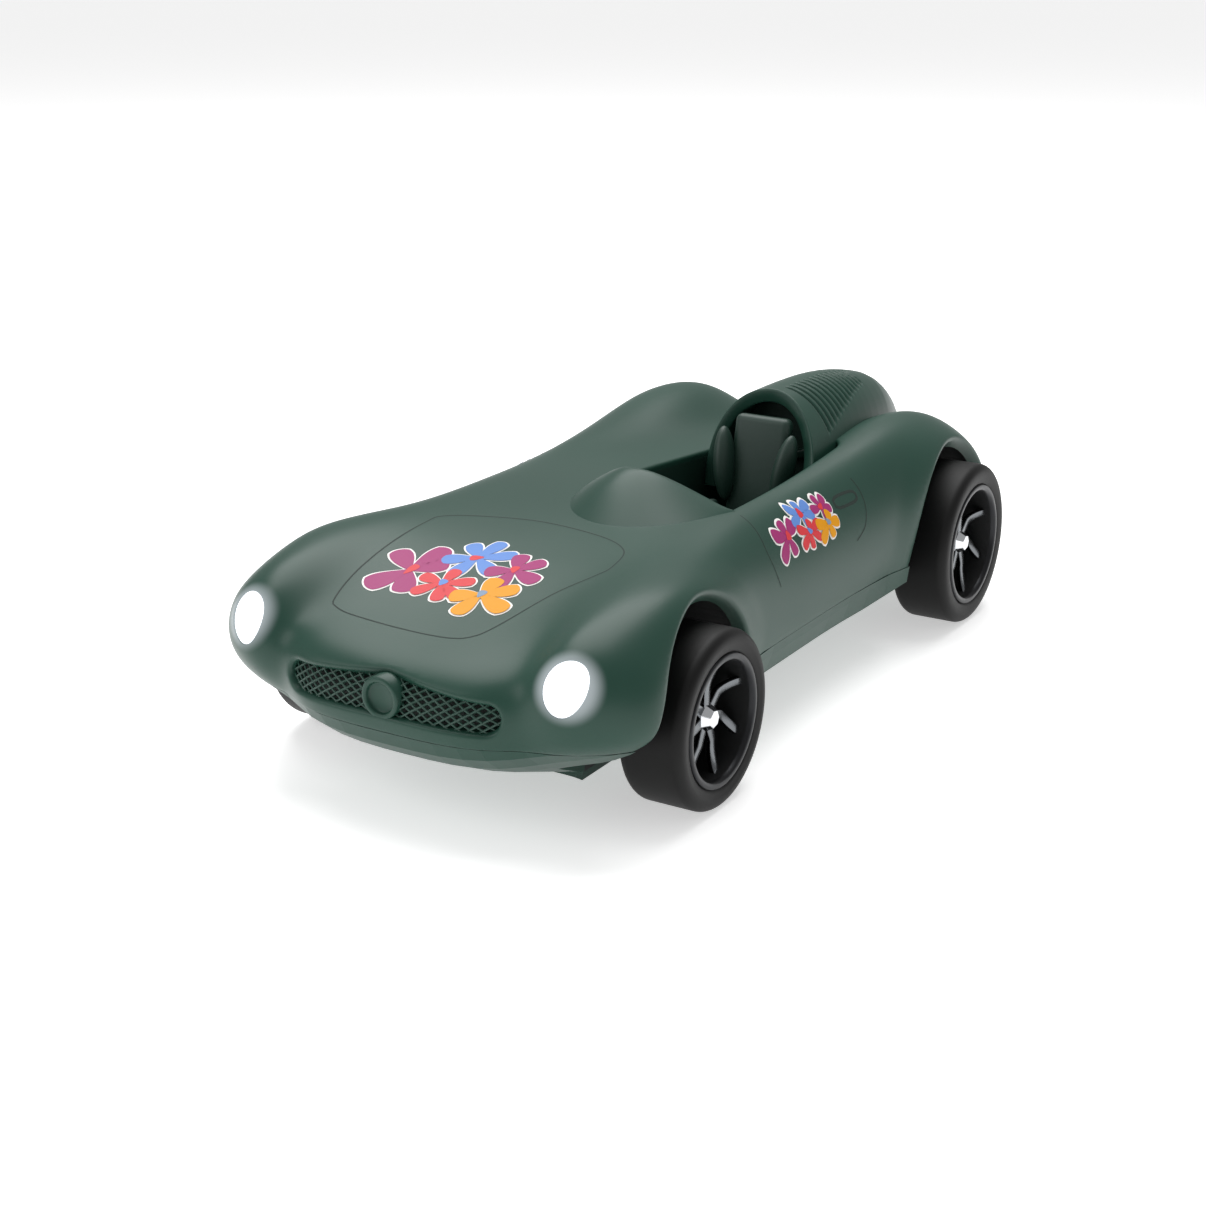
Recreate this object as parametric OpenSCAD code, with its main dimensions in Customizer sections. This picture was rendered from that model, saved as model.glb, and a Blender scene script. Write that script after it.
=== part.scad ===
/* [Body] */
// Distance between the front and rear axles
wheelbase = 164; // [136:1:200]
// Nose to front axle
front_overhang = 56; // [52:1:68]
// Rear axle to tail
rear_overhang = 56; // [52:1:68]
// Width of the body, without the tyres
body_width = 122; // [110:1:148]
// Height of the headrest fairing above the ground
body_height = 77.5; // [74:0.5:94]
// Thickness of the body mouldings
wall = 2; // [1.6:0.1:2.6]
// Ground clearance under the flat floor
floor_z = 9; // [7:0.5:11]
// Height of the joint between the upper shell and the lower pan
parting_z = 26; // [22:0.5:30]

/* [Cockpit] */
// Sideways place of the single cockpit, towards the driver's side
cockpit_x = 15; // [11:0.5:18]
// Width of the cockpit opening
cockpit_width = 42; // [36:0.5:46]
// Front end of the cockpit, from the middle of the wheelbase
cockpit_front = -38; // [-44:1:-34]
// Back end of the cockpit, under the fairing
cockpit_back = 48; // [44:1:50]
// Height of the cockpit floor
cockpit_floor = 33; // [32:0.5:36]
// Height of the top edge of the windscreen
screen_top = 71; // [68:0.5:78]

/* [Wheels] */
// Diameter of the front tyres
front_tyre_d = 46.5; // [42:0.5:52]
// Diameter of the rear tyres
rear_tyre_d = 50; // [46:0.5:56]
// Width of the tyres
tyre_width = 18; // [16:0.5:21]
// Diameter over the rim lip of the front wheels
front_rim_d = 34.6; // [30:0.2:36]
// Diameter over the rim lip of the rear wheels
rear_rim_d = 37.4; // [33:0.2:40]
// How far the tyres stand out beyond the body
tyre_proud = 3; // [1:0.5:4]
// Room between a tyre and its wheel arch
arch_gap = 8; // [7:0.5:9]
// How far the arch flares stand out from the side
flare = 1.5; // [0:0.5:3]
// Number of spokes in a wheel
spokes = 7; // [5:1:9]

/* [Running gear] */
// Diameter of the rear axle
axle_d = 4; // [3:0.25:5]
// Diameter of the front stub axles
stub_d = 4; // [3:0.25:5]
// Diameter of the kingpins
kingpin_d = 3; // [2.5:0.25:4]
// Radial clearance of turning pins and shafts
run_gap = 0.05; // [0.02:0.01:0.1]
// Gear module
gear_module = 0.7; // [0.6:0.05:0.7]
// Teeth of the gear on the rear axle
axle_teeth = 30; // [28:1:32]
// Teeth of the small wheel of the idler
idler_small_teeth = 10; // [10:1:12]
// Teeth of the large wheel of the idler
idler_large_teeth = 24; // [22:1:26]
// Teeth of the motor pinion
pinion_teeth = 9; // [9:1:11]
// Sideways travel of the steering rack each way
rack_travel = 3.6; // [3:0.1:3.8]
// Travel of the power switch each way
switch_travel = 1.5; // [1:0.1:2]

/* [Battery] */
// Diameter of one battery cell
cell_d = 14.2; // [13.5:0.1:14.5]
// Length of one battery cell
cell_len = 50; // [48:0.5:51]

/* [Hidden] */

body_green = "#2f4a3e";
metal = "#b9bcc0";

body_length = wheelbase + front_overhang + rear_overhang;
nose_y = -body_length / 2;
front_y = nose_y + front_overhang;
rear_y = front_y + wheelbase;
mid_y = (front_y + rear_y) / 2;
front_z = front_tyre_d / 2;
rear_z = rear_tyre_d / 2;
front_arch_r = front_z + arch_gap;
rear_arch_r = rear_z + arch_gap - 1;
tyre_out = body_width / 2 + tyre_proud;
tyre_in = tyre_out - tyre_width;
floor_t = 2;
floor_top = floor_z + floor_t;
well_x = tyre_in - 10.5;
well_t = 1.4;
hub_depth = 6.5;

// ---- Body surface: one cage for half the body, smoothed as a bicubic B-spline ----
// Each row runs from the centre line to the lower edge. Rows run from the keel under the nose,
// up and over the body, to the keel under the tail. The cage is drawn for axles at y = -82 and 82.
cage_axle = 82;
cage_half_width = 61;
cage_height = 77.5;
cage = [
    [[0,-104,9], [14,-104,9], [27,-104,9], [36,-104,11], [42,-105,13], [47,-106,13], [51,-107,16], [54,-107,18], [55,-105,17]],
    [[0,-124,13], [14,-124,13], [27,-123,14.5], [36,-120,18], [44,-119,20.5], [51,-117,23], [57,-113,25], [59,-110,25], [59,-106,21]],
    [[0,-139,21], [14,-139,21], [27,-137,22], [36,-131,23], [45,-132,26], [55,-129,28.5], [61,-121,30], [62,-113,29], [61,-107,25]],
    [[0,-143,32], [14,-143,32], [27,-141,32], [36,-134,33], [44,-138,37], [55,-133,38], [63,-123,37], [63,-114,34], [61,-107,28]],
    [[0,-140,41], [14,-140,41], [26,-138.5,41.5], [35,-131,43], [43,-136,48], [54,-131,48], [62,-120,45], [63,-112,39], [61,-106,30]],
    [[0,-128,44.5], [13,-128,45], [25,-126,45.5], [34,-121,47], [42,-125,55], [53,-121,54], [60,-113,49], [62,-107,42], [60,-103,32]],
    [[0,-111,48.5], [13,-111,49], [25,-111,50], [34,-110,53], [43,-109,58], [52,-108,57], [59,-104,52], [61,-101,44], [59,-99,33]],
    [[0,-94,53.5], [13,-94,54], [25,-94,54.5], [34,-94,56], [43,-94,59.5], [52,-94,59], [58,-93,54.5], [60,-92,44], [58,-92,30]],
    [[0,-76,57.5], [13,-76,57.5], [25,-76,58], [34,-76,58.5], [42,-76,59.5], [51,-76,58], [57,-76,53], [58,-76,40], [56,-76,24]],
    [[0,-56,60], [13,-56,60], [25,-56,60], [34,-56,59.5], [42,-56,58.5], [49,-56,55.5], [54,-56,46], [55,-56,31], [50,-56,17.5]],
    [[0,-34,61], [13,-34,61], [25,-34,61], [34,-34,60.5], [41,-34,59], [48,-34,54], [53,-34,43], [54.5,-34,28], [50,-34,17.5]],
    [[0,-10,60], [13,-10,60], [24,-10,60.5], [33,-10,60.5], [41,-10,59], [47.5,-10,54], [52.5,-10,43], [54.5,-10,28], [50,-10,17.5]],
    [[0,14,58], [12,14,58], [23,14,59], [32,14,61], [40,14,61], [48,14,56], [53,14,45], [55,14,29], [50,14,17.5]],
    [[0,38,56], [11,38,56], [21,38,57.5], [30,38,62], [39,38,63.5], [48,38,60], [54,38,50], [57,38,35], [53,38,18]],
    [[0,60,54], [10,60,54], [20,60,57], [29,60,63], [38,60,66.5], [48,60,63.5], [56,60,55], [58,60,42], [56,60,24]],
    [[0,80,51], [10,80,51], [20,80,55], [29,80,62.5], [38,80,66.5], [48,80,63.5], [57,80,55], [59,80,43], [57,80,27]],
    [[0,99,48], [11,99,48], [21,99,51], [30,99,57.5], [39,99,61.5], [48,98,58.5], [56,97,52], [59,96,42], [57,96,29]],
    [[0,117,44], [12,117,44], [22,116,45], [31,115,49], [40,114,52], [48,112,49], [54,108,44], [58,104,37], [57,102,27]],
    [[0,132,39], [12,132,39], [23,131,39], [32,129,41], [40,126,42], [48,121,39.5], [54,115,36], [57,109,30], [57,105,23]],
    [[0,141,29], [12,141,29], [23,139,29], [32,136,30], [40,132,30], [47,126,29], [53,119,27], [57,112,24], [58,106,20]],
    [[0,136,17], [13,136,17], [24,134,17], [33,130,17], [41,126,17], [48,120,17], [53,114,17], [56,109,17], [57,105,16]],
    [[0,118,9], [14,118,9], [28,116,9], [36,113,9.5], [42,109,11], [47,107,13], [51,106,15], [54,105,16], [55,104,15]]
];
cage_rows = len(cage);
cage_cols = len(cage[0]);
row_steps = 2;
col_steps = 2;

function mirrored(p) = [-p.x, p.y, p.z];
// Whole rows, port side to starboard side
function full_row(r) = concat([for (j = [cage_cols - 1 : -1 : 1]) mirrored(r[j])], r);
// One extra point beyond each end lets the surface reach the first and last points
function padded(list) = let (n = len(list))
    concat([2 * list[0] - list[1]], list, [2 * list[n - 1] - list[n - 2]]);
function spline_weights(t) =
    [pow(1 - t, 3), 3 * t * t * t - 6 * t * t + 4, -3 * t * t * t + 3 * t * t + 3 * t + 1, t * t * t] / 6;
function spline_points(list, steps) = let (p = padded(list), spans = len(list) - 1)
    [for (k = [0 : spans * steps])
        let (i = min(floor(k / steps), spans - 1), w = spline_weights(k / steps - i))
            w[0] * p[i] + w[1] * p[i + 1] + w[2] * p[i + 2] + w[3] * p[i + 3]];
function transposed(m) = [for (j = [0 : len(m[0]) - 1]) [for (i = [0 : len(m) - 1]) m[i][j]]];

rough_rows = [for (r = cage) spline_points(full_row(r), col_steps)];
rough = transposed([for (c = transposed(rough_rows)) spline_points(c, row_steps)]);
rough_nose = min([for (r = rough) for (p = r) p.y]);
rough_tail = max([for (r = rough) for (p = r) p.y]);

// The cage is stretched to the real wheelbase, overhangs, width and height
function station(y) =
    y < -cage_axle ? front_y + (y + cage_axle) * front_overhang / (-cage_axle - rough_nose)
    : y > cage_axle ? rear_y + (y - cage_axle) * rear_overhang / (rough_tail - cage_axle)
    : front_y + (y + cage_axle) * wheelbase / (2 * cage_axle);
function fitted(p) =
    [p.x * body_width / 2 / cage_half_width, station(p.y), p.z * body_height / cage_height];
function smooth(t) = let (c = max(0, min(1, t))) c * c * (3 - 2 * c);
flare_band = 13;
// The arches reach further in front of each axle than behind it
arch_lead = 2;
function flare_at(p, y, z, r) =
    1 - smooth((norm([p.y - y, p.z - z]) - r) / flare_band);
// The arch lips swell outwards round each wheel
function flared(p) = let (
        side = smooth((abs(p.x) - body_width * 0.34) / (body_width * 0.1)),
        swell = max(flare_at(p, front_y - arch_lead, front_z, front_arch_r), flare_at(p, rear_y - arch_lead, rear_z, rear_arch_r)))
    [p.x + sign(p.x) * flare * side * swell, p.y, p.z];
skin = [for (r = rough) [for (p = r) flared(fitted(p))]];
skin_rows = len(skin);
skin_cols = len(skin[0]);

function clamped(i, n) = max(0, min(n - 1, i));
function skin_normal(i, j) = let (
        down = skin[clamped(i + 1, skin_rows)][j] - skin[clamped(i - 1, skin_rows)][j],
        across = skin[i][clamped(j + 1, skin_cols)] - skin[i][clamped(j - 1, skin_cols)],
        n = cross(across, down))
    n / norm(n);
function offset_skin(d) =
    [for (i = [0 : skin_rows - 1]) [for (j = [0 : skin_cols - 1]) skin[i][j] + d * skin_normal(i, j)]];
// Grid indices round the lower edge, in order
edge_loop = concat(
    [for (j = [0 : skin_cols - 1]) [0, j]],
    [for (i = [1 : skin_rows - 1]) [i, skin_cols - 1]],
    [for (j = [skin_cols - 2 : -1 : 0]) [skin_rows - 1, j]],
    [for (i = [skin_rows - 2 : -1 : 1]) [i, 0]]);

// The body as a closed solid: its skin moved out by d, closed with a flat floor at bottom. The
// sills tuck in under the body by up to this much.
tuck = 14;
module body_solid(d, bottom) {
    grid = offset_skin(d);
    rim = [for (e = edge_loop) let (p = grid[e[0]][e[1]])
        [p.x * 0.97 - sign(p.x) * min(tuck, 1.6 * max(0, p.z - bottom - 1)), p.y, bottom]];
    count = skin_rows * skin_cols;
    loops = len(edge_loop);
    // Each quad is split one way on the port half and the other way on the starboard half
    quads = [for (i = [0 : skin_rows - 2]) for (j = [0 : skin_cols - 2])
        let (a = i * skin_cols + j, b = a + skin_cols, port = j < (skin_cols - 1) / 2)
            each (port ? [[a, b, a + 1], [a + 1, b, b + 1]] : [[a, b, b + 1], [a, b + 1, a + 1]])];
    skirt = [for (k = [0 : loops - 1]) let (
            n = (k + 1) % loops,
            a = edge_loop[k][0] * skin_cols + edge_loop[k][1],
            b = edge_loop[n][0] * skin_cols + edge_loop[n][1])
        each [[a, b, count + k], [b, count + n, count + k]]];
    cap = [for (k = [0 : loops - 1]) count + k];
    polyhedron(concat([for (r = grid) each r], rim), concat(quads, skirt, [cap]), convexity = 8);
}
module outer_body() { body_solid(0, floor_z); }
module inner_body() { body_solid(-wall, floor_top); }

// Hands a shape to the mesh kernel whole
module as_mesh() { resize([0, 0, 0]) children(); }
module both_sides() { children(); mirror([1, 0, 0]) children(); }
module along_x(x0, x1, r, fn = 64) { translate([x0, 0, 0]) rotate([0, 90, 0]) cylinder(r = r, h = x1 - x0, $fn = fn); }

// ---- Headrest fairing: a teardrop dome behind the seat ----
fairing_front = mid_y + 30;
fairing_back = rear_y + rear_overhang * 0.93;
fairing_base = parting_z + 12;
// Height and half width along the fairing, front to back
fairing_heights = [77.5, 78, 77, 74.5, 70, 62, 46];
fairing_widths = [20.5, 20.5, 19.5, 17.5, 14.5, 10, 3];
function fairing_profile(list) = spline_points(list, 2);
module fairing_solid(d, front_extra) {
    hs = fairing_profile(fairing_heights);
    top = max(hs);
    ws = fairing_profile(fairing_widths);
    n = len(hs) - 1;
    arc = 20;
    rings = [for (i = [0 : n]) let (
            y = fairing_front + (fairing_back - fairing_front - max(0, -d)) * i / n - (i == 0 ? front_extra : 0),
            w = max(0.4, ws[i] * cockpit_width / 42 + d),
            h = max(1, hs[i] / top * body_height + d - fairing_base))
        [for (k = [0 : arc]) let (a = 180 * k / arc)
            [cockpit_x + w * cos(a), y, fairing_base + h * pow(sin(a), 0.85)]]];
    m = arc + 1;
    faces = [for (i = [0 : n - 1]) for (k = [0 : m - 1]) let (a = i * m + k, b = i * m + (k + 1) % m)
        each [[a, b, a + m], [b, b + m, a + m]]];
    front = [for (k = [m - 1 : -1 : 0]) k];
    back = [for (k = [0 : m - 1]) n * m + k];
    polyhedron([for (r = rings) each r], concat(faces, [front, back]), convexity = 4);
}

// ---- Cockpit and windscreen outlines ----
module cockpit_outline(d) {
    offset(r = 12 + d, $fn = 48) offset(delta = -12)
        translate([cockpit_x - cockpit_width / 2, mid_y + cockpit_front])
            square([cockpit_width, cockpit_back - cockpit_front]);
}
tub_t = 1.5;
screen_back = mid_y - 27;
module screen_solid(d) {
    hull() {
        translate([cockpit_x, screen_back, body_height * 0.7])
            intersection() {
                scale([(cockpit_width / 2 + 3 + d) / 10, (38 + d) / 10, 1]) cylinder(r = 10, h = 2, $fn = 48);
                translate([-50, -60, 0]) cube([100, 60 - d * 3, 2]);
            }
        translate([cockpit_x - 1, screen_back - 11, screen_top + d - 2])
            scale([1.2, 0.8, 1]) cylinder(r = 6 + d, h = 2, $fn = 32);
    }
}

// ---- Openings cut in the skin ----
mouth_z = 33;
mouth_half = 32;
mouth_half_height = 7;
module mouth_cut(d, y0, y1) {
    translate([0, y1, mouth_z]) rotate([90, 0, 0]) linear_extrude(y1 - y0)
        offset(r = 5 + d, $fn = 32) offset(delta = -5)
            polygon([[-mouth_half, mouth_half_height - 1], [-mouth_half / 2, mouth_half_height + 0.8],
                [mouth_half / 2, mouth_half_height + 0.8], [mouth_half, mouth_half_height - 1],
                [mouth_half - 3, -mouth_half_height], [-mouth_half + 3, -mouth_half_height]]);
}
lamp_x = body_width * 0.39;
lamp_z = 44;
lamp_w = 11.5;
lamp_h = 13;
module lamp_cut(d) {
    translate([lamp_x, front_y - 22, lamp_z]) rotate([90, 0, 0])
        scale([(lamp_w / 2 + d) / 10, (lamp_h / 2 + d) / 10, 1]) cylinder(r = 10, h = 60, $fn = 48);
}
module arch_cuts() {
    both_sides() {
        translate([0, front_y - arch_lead, front_z]) along_x(well_x, tyre_out + 20, front_arch_r, 64);
        translate([0, rear_y - arch_lead, rear_z]) along_x(well_x, tyre_out + 20, rear_arch_r, 64);
    }
}

// ---- Body screws and their posts ----
post_r = 3.6;
screw_r = 1.3;
screw_head_r = 2.6;
body_screw_places = [[24, front_y - 17], [42, mid_y - 14], [28, rear_y + 30]];
module at_body_screws() { both_sides() for (p = body_screw_places) translate([p.x, p.y, 0]) children(); }
screw_head_z = floor_z + 8;
screw_end_z = parting_z + 7;

// ---- Battery ----
battery_y = mid_y - 4;
battery_wall = 1.5;
battery_half_x = cell_d * 2 + 1.5;
battery_half_y = cell_len / 2 + 3;
battery_top = floor_top + cell_d + 3.2;
door_gap = 0.25;
door_half_x = battery_half_x - 1;
door_half_y = battery_half_y - 1;

// ---- Power switch ----
switch_x = -26;
switch_y = mid_y + 38;

// ---- Steering ----
kingpin_x = tyre_in - 1.5;
steer_arm = [-6.5, 14];
rack_y = front_y + steer_arm.y;
rack_z = front_z + 3;
horn_r = 10;
horn_y = rack_y + horn_r;
pin_r = 1.2;
pin_play = 0.5;
arm_z = front_z - 1;
knuckle_half = 7;
eye_t = 3;

// ---- Gear train behind the rear axle ----
gear_x = -18;
gear_w = 3;
axle_pitch_r = gear_module * axle_teeth / 2;
idler_small_r = gear_module * idler_small_teeth / 2;
idler_large_r = gear_module * idler_large_teeth / 2;
pinion_r = gear_module * pinion_teeth / 2;
idler_y = rear_y + axle_pitch_r + idler_small_r;
motor_y = idler_y + idler_large_r + pinion_r;
box_x0 = gear_x - gear_w - 3;
box_x1 = gear_x + 2 * gear_w + 3;
box_wall = 2;
motor_r = 9.5;
motor_len = 25;

module upper_body_shell() {
    color(body_green) as_mesh() difference() {
        union() {
            difference() {
                union() { outer_body(); fairing_solid(0, 0); }
                inner_body();
                fairing_solid(-wall, 2);
            }
            intersection() {
                body_solid(-wall / 2, floor_z);
                at_body_screws() translate([0, 0, parting_z - 1]) cylinder(r = post_r, h = 60, $fn = 32);
            }
        }
        translate([-200, -300, -1]) cube([400, 600, parting_z + 1]);
        intersection() {
            translate([0, 0, cockpit_floor]) linear_extrude(100) cockpit_outline(0);
            translate([-100, -200, 0]) cube([200, 200 + fairing_front, 200]);
        }
        arch_cuts();
        mouth_cut(0, nose_y - 10, front_y - 20);
        both_sides() lamp_cut(0);
        at_body_screws() cylinder(r = screw_r, h = screw_end_z + 1, $fn = 32);
    }
}
module lower_body_pan() {
    color(body_green) as_mesh() difference() {
        union() {
            difference() { outer_body(); inner_body(); }
            intersection() {
                body_solid(-wall / 2, floor_z + floor_t / 2);
                at_body_screws() cylinder(r = post_r, h = parting_z + 1, $fn = 32);
            }
        }
        translate([-200, -300, parting_z]) cube([400, 600, 200]);
        arch_cuts();
        at_body_screws() {
            cylinder(r = screw_r + 0.2, h = 100, $fn = 32);
            cylinder(r = screw_head_r + 0.2, h = screw_head_z, $fn = 32);
        }
        translate([-door_half_x, battery_y - door_half_y, 0]) cube([2 * door_half_x, 2 * door_half_y, 60]);
        translate([switch_x - 1.7, switch_y - 4.2, 0]) cube([3.4, 8.4, 60]);
    }
}
module windscreen() {
    color(body_green) as_mesh() difference() {
        screen_solid(0);
        screen_solid(-wall);
        outer_body();
    }
}
module cockpit_tub() {
    color(body_green) as_mesh() intersection() {
        difference() {
            translate([0, 0, cockpit_floor - tub_t]) linear_extrude(60) cockpit_outline(tub_t);
            translate([0, 0, cockpit_floor]) linear_extrude(60) cockpit_outline(0);
        }
        union() { inner_body(); fairing_solid(-wall, 0); }
    }
}
seat_y = mid_y + 12;
module seat() {
    color(body_green) as_mesh() union() {
        translate([cockpit_x - 14, seat_y - 26, cockpit_floor]) cube([28, 40, 8]);
        translate([cockpit_x - 9, seat_y + 12, cockpit_floor + 1.5]) rotate([-12, 0, 0]) cube([18, 6, 36]);
        for (s = [-1, 1]) {
            translate([cockpit_x + s * 11.5 - 2.5, seat_y + 8, cockpit_floor + 2]) rotate([-12, 0, 0]) cube([5, 9, 30]);
            translate([cockpit_x + s * 14 - 2, seat_y - 24, cockpit_floor + 1]) cube([4, 34, 12]);
        }
    }
}
module grille() {
    color(body_green) as_mesh() intersection() {
        difference() { body_solid(-wall, floor_top); body_solid(-wall - 1.5, floor_top + 2); }
        mouth_cut(3, nose_y - 10, front_y - 20);
    }
}
emblem_r = 5.4;
module nose_emblem() {
    color(body_green) as_mesh() difference() {
        translate([0, nose_y + 12, mouth_z + 2]) rotate([90, 0, 0]) difference() {
            cylinder(r = emblem_r, h = 12.5, $fn = 48);
            translate([0, 0, 11.5]) cylinder(r = emblem_r - 1.1, h = 2, $fn = 48);
        }
        body_solid(-wall, floor_top);
    }
}
module headlight_lens() {
    color("#f4f6ff") as_mesh() difference() {
        intersection() { outer_body(); lamp_cut(-0.1); }
        inner_body();
    }
}
module headlight_lens_left() { headlight_lens(); }
module headlight_lens_right() { mirror([1, 0, 0]) headlight_lens(); }
led_y = front_y - 37;
led_r = 2.5;
module headlight_reflector() {
    color("#d8dade") as_mesh() intersection() {
        translate([lamp_x - 3, led_y - 1, lamp_z]) rotate([90, 0, 0]) difference() {
            cylinder(r1 = 4.5, r2 = 8, h = 12, $fn = 24);
            translate([0, 0, 1]) cylinder(r1 = 3.5, r2 = 7, h = 11.01, $fn = 24);
            translate([0, 0, -1]) cylinder(r = led_r + 0.05, h = 4, $fn = 24);
        }
        inner_body();
    }
}
module headlight_reflector_left() { headlight_reflector(); }
module headlight_reflector_right() { mirror([1, 0, 0]) headlight_reflector(); }
module headlight_led() {
    color("white") translate([lamp_x - 3, led_y, lamp_z]) rotate([90, 0, 0]) {
        cylinder(r = 2.9, h = 1, $fn = 48);
        cylinder(r = led_r, h = 4, $fn = 48);
        for (s = [-1, 1]) translate([s * 1.27, 0, -6]) cylinder(r = 0.3, h = 6, $fn = 16);
    }
}
module headlight_led_left() { headlight_led(); }
module headlight_led_right() { mirror([1, 0, 0]) headlight_led(); }

module wheel_well(y, z, r) {
    intersection() {
        difference() {
            translate([0, y - arch_lead, z]) along_x(well_x - well_t, tyre_out, r + well_t, 64);
            translate([0, y - arch_lead, z]) along_x(well_x, tyre_out + 5, r, 64);
            children();
        }
        inner_body();
    }
}
module wheel_well_front_left() {
    color("#101010") as_mesh() wheel_well(front_y, front_z, front_arch_r)
        translate([well_x - 10, front_y - 14, 0]) cube([20, 34, front_z + 13]);
}
module wheel_well_front_right() { mirror([1, 0, 0]) wheel_well_front_left(); }
module wheel_well_rear_left() {
    color("#101010") as_mesh() wheel_well(rear_y, rear_z, rear_arch_r)
        translate([0, rear_y, rear_z]) along_x(0, 100, axle_d / 2 + 2, 48);
}
module wheel_well_rear_right() { mirror([1, 0, 0]) wheel_well_rear_left(); }

module battery_box() {
    color("#1c1c1c") translate([0, battery_y, floor_top]) difference() {
        translate([-battery_half_x - battery_wall, -battery_half_y - battery_wall, 0])
            cube([2 * (battery_half_x + battery_wall), 2 * (battery_half_y + battery_wall), battery_top - floor_top]);
        translate([-battery_half_x, -battery_half_y, -1])
            cube([2 * battery_half_x, 2 * battery_half_y, battery_top - floor_top - battery_wall + 1]);
    }
}
cell_z = floor_top + cell_d / 2 + 1;
module battery_cells() {
    color("#3a6ea5") for (i = [0 : 3]) translate([(i - 1.5) * (cell_d + 0.4), battery_y - cell_len / 2, cell_z]) {
        s = i % 2;
        rotate([-90, 0, 0]) translate([0, 0, s * 1.5]) cylinder(d = cell_d, h = cell_len - 1.5, $fn = 64);
        rotate([-90, 0, 0]) translate([0, 0, s == 1 ? 0 : cell_len - 1.5]) cylinder(d = 5.4, h = 1.5, $fn = 48);
    }
}
module battery_contacts() {
    color(metal) for (i = [0 : 3]) for (e = [-1, 1])
        translate([(i - 1.5) * (cell_d + 0.4) - 4, battery_y + e * (battery_half_y - 0.3) - 0.3, cell_z - 4])
            cube([8, 0.6, 8]);
}
module battery_door() {
    color(body_green) translate([0, battery_y, floor_z + 0.3]) difference() {
        translate([-door_half_x + door_gap, -door_half_y + door_gap, 0])
            cube([2 * (door_half_x - door_gap), 2 * (door_half_y - door_gap), floor_t - 0.3]);
        translate([0, door_half_y - 4, -1]) cylinder(r = 1.2, h = 5, $fn = 48);
        for (i = [0 : 3]) translate([-12, -18 + 3 * i, -1]) cube([24, 1.2, 1.5]);
    }
}
module battery_door_screw() {
    color(metal) translate([0, battery_y + door_half_y - 4, floor_z]) difference() {
        union() { cylinder(r = 1.15, h = 2.4, $fn = 48); translate([0, 0, -0.1]) cylinder(r = 2, h = 0.4, $fn = 48); }
        translate([-1.6, -0.25, -0.2]) cube([3.2, 0.5, 0.3]);
    }
}
board_x1 = cockpit_x - cockpit_width / 2 - tub_t - 1;
module circuit_board() {
    color("#1f5c33") translate([board_x1 - 22, battery_y - 26, battery_top + 2]) cube([22, 50, 1.6]);
    color("#1f5c33") for (y = [-22, 20]) translate([board_x1 - 18, battery_y + y, battery_top]) cylinder(r = 1.5, h = 2, $fn = 32);
    color("#222222") translate([board_x1 - 15, battery_y - 10, battery_top + 3.6]) cube([9, 9, 1.5]);
    color("#222222") translate([board_x1 - 18, battery_y + 8, battery_top + 3.6]) cube([12, 6, 6]);
}
module power_switch_case() {
    color("#2a2a2a") translate([switch_x, switch_y, floor_top]) difference() {
        translate([-4, -7.5, 0]) cube([8, 15, 6]);
        translate([-3.2, -5, -1]) cube([6.4, 10, 4]);
    }
}
module power_switch_knob() {
    color("#101010") translate([switch_x, switch_y, 0]) {
        translate([-1.5, -2, floor_z + 0.3]) cube([3, 4, floor_t]);
        translate([-2.8, -3, floor_top + 0.2]) cube([5.6, 6, 2]);
    }
}
module body_screws() {
    color(metal) at_body_screws() translate([0, 0, screw_head_z]) {
        cylinder(r = screw_r - 0.05, h = screw_end_z - screw_head_z, $fn = 32);
        translate([0, 0, -1.8]) difference() {
            cylinder(r = screw_head_r - 0.1, h = 1.8, $fn = 48);
            for (a = [0, 90]) rotate([0, 0, a]) translate([-1.6, -0.3, -0.1]) cube([3.2, 0.6, 0.9]);
        }
    }
}

// ---- Gears with involute flanks ----
pressure = 20;
backlash = 0.18;
function involute(rb, a) = rb * [cos(a) + a * PI / 180 * sin(a), sin(a) - a * PI / 180 * cos(a)];
function turned(p, a) = [p.x * cos(a) - p.y * sin(a), p.x * sin(a) + p.y * cos(a)];
function roll_angle(rb, r) = sqrt(max(0, r * r / (rb * rb) - 1)) * 180 / PI;
module spur(teeth, width, bore, phase = 0) {
    r = gear_module * teeth / 2;
    rb = r * cos(pressure);
    tip = r + 0.75 * gear_module;
    root = r - 1.15 * gear_module;
    start = max(rb, root);
    inv = (tan(pressure) - pressure * PI / 180) * 180 / PI;
    half = 90 / teeth - backlash / (2 * r) * 180 / PI + inv;
    flank = [for (k = [0 : 3]) let (q = start + (tip - start) * k / 3) turned(involute(rb, roll_angle(rb, q)), -half)];
    tooth = concat([turned([root, 0], -half)], flank, [for (k = [3 : -1 : 0]) [flank[k].x, -flank[k].y]], [turned([root, 0], half)]);
    rotate([90, 0, 90]) linear_extrude(width) difference() {
        polygon([for (t = [0 : teeth - 1]) each [for (p = tooth) turned(p, phase + 360 * t / teeth)]]);
        circle(r = bore, $fn = 64);
    }
}
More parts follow.
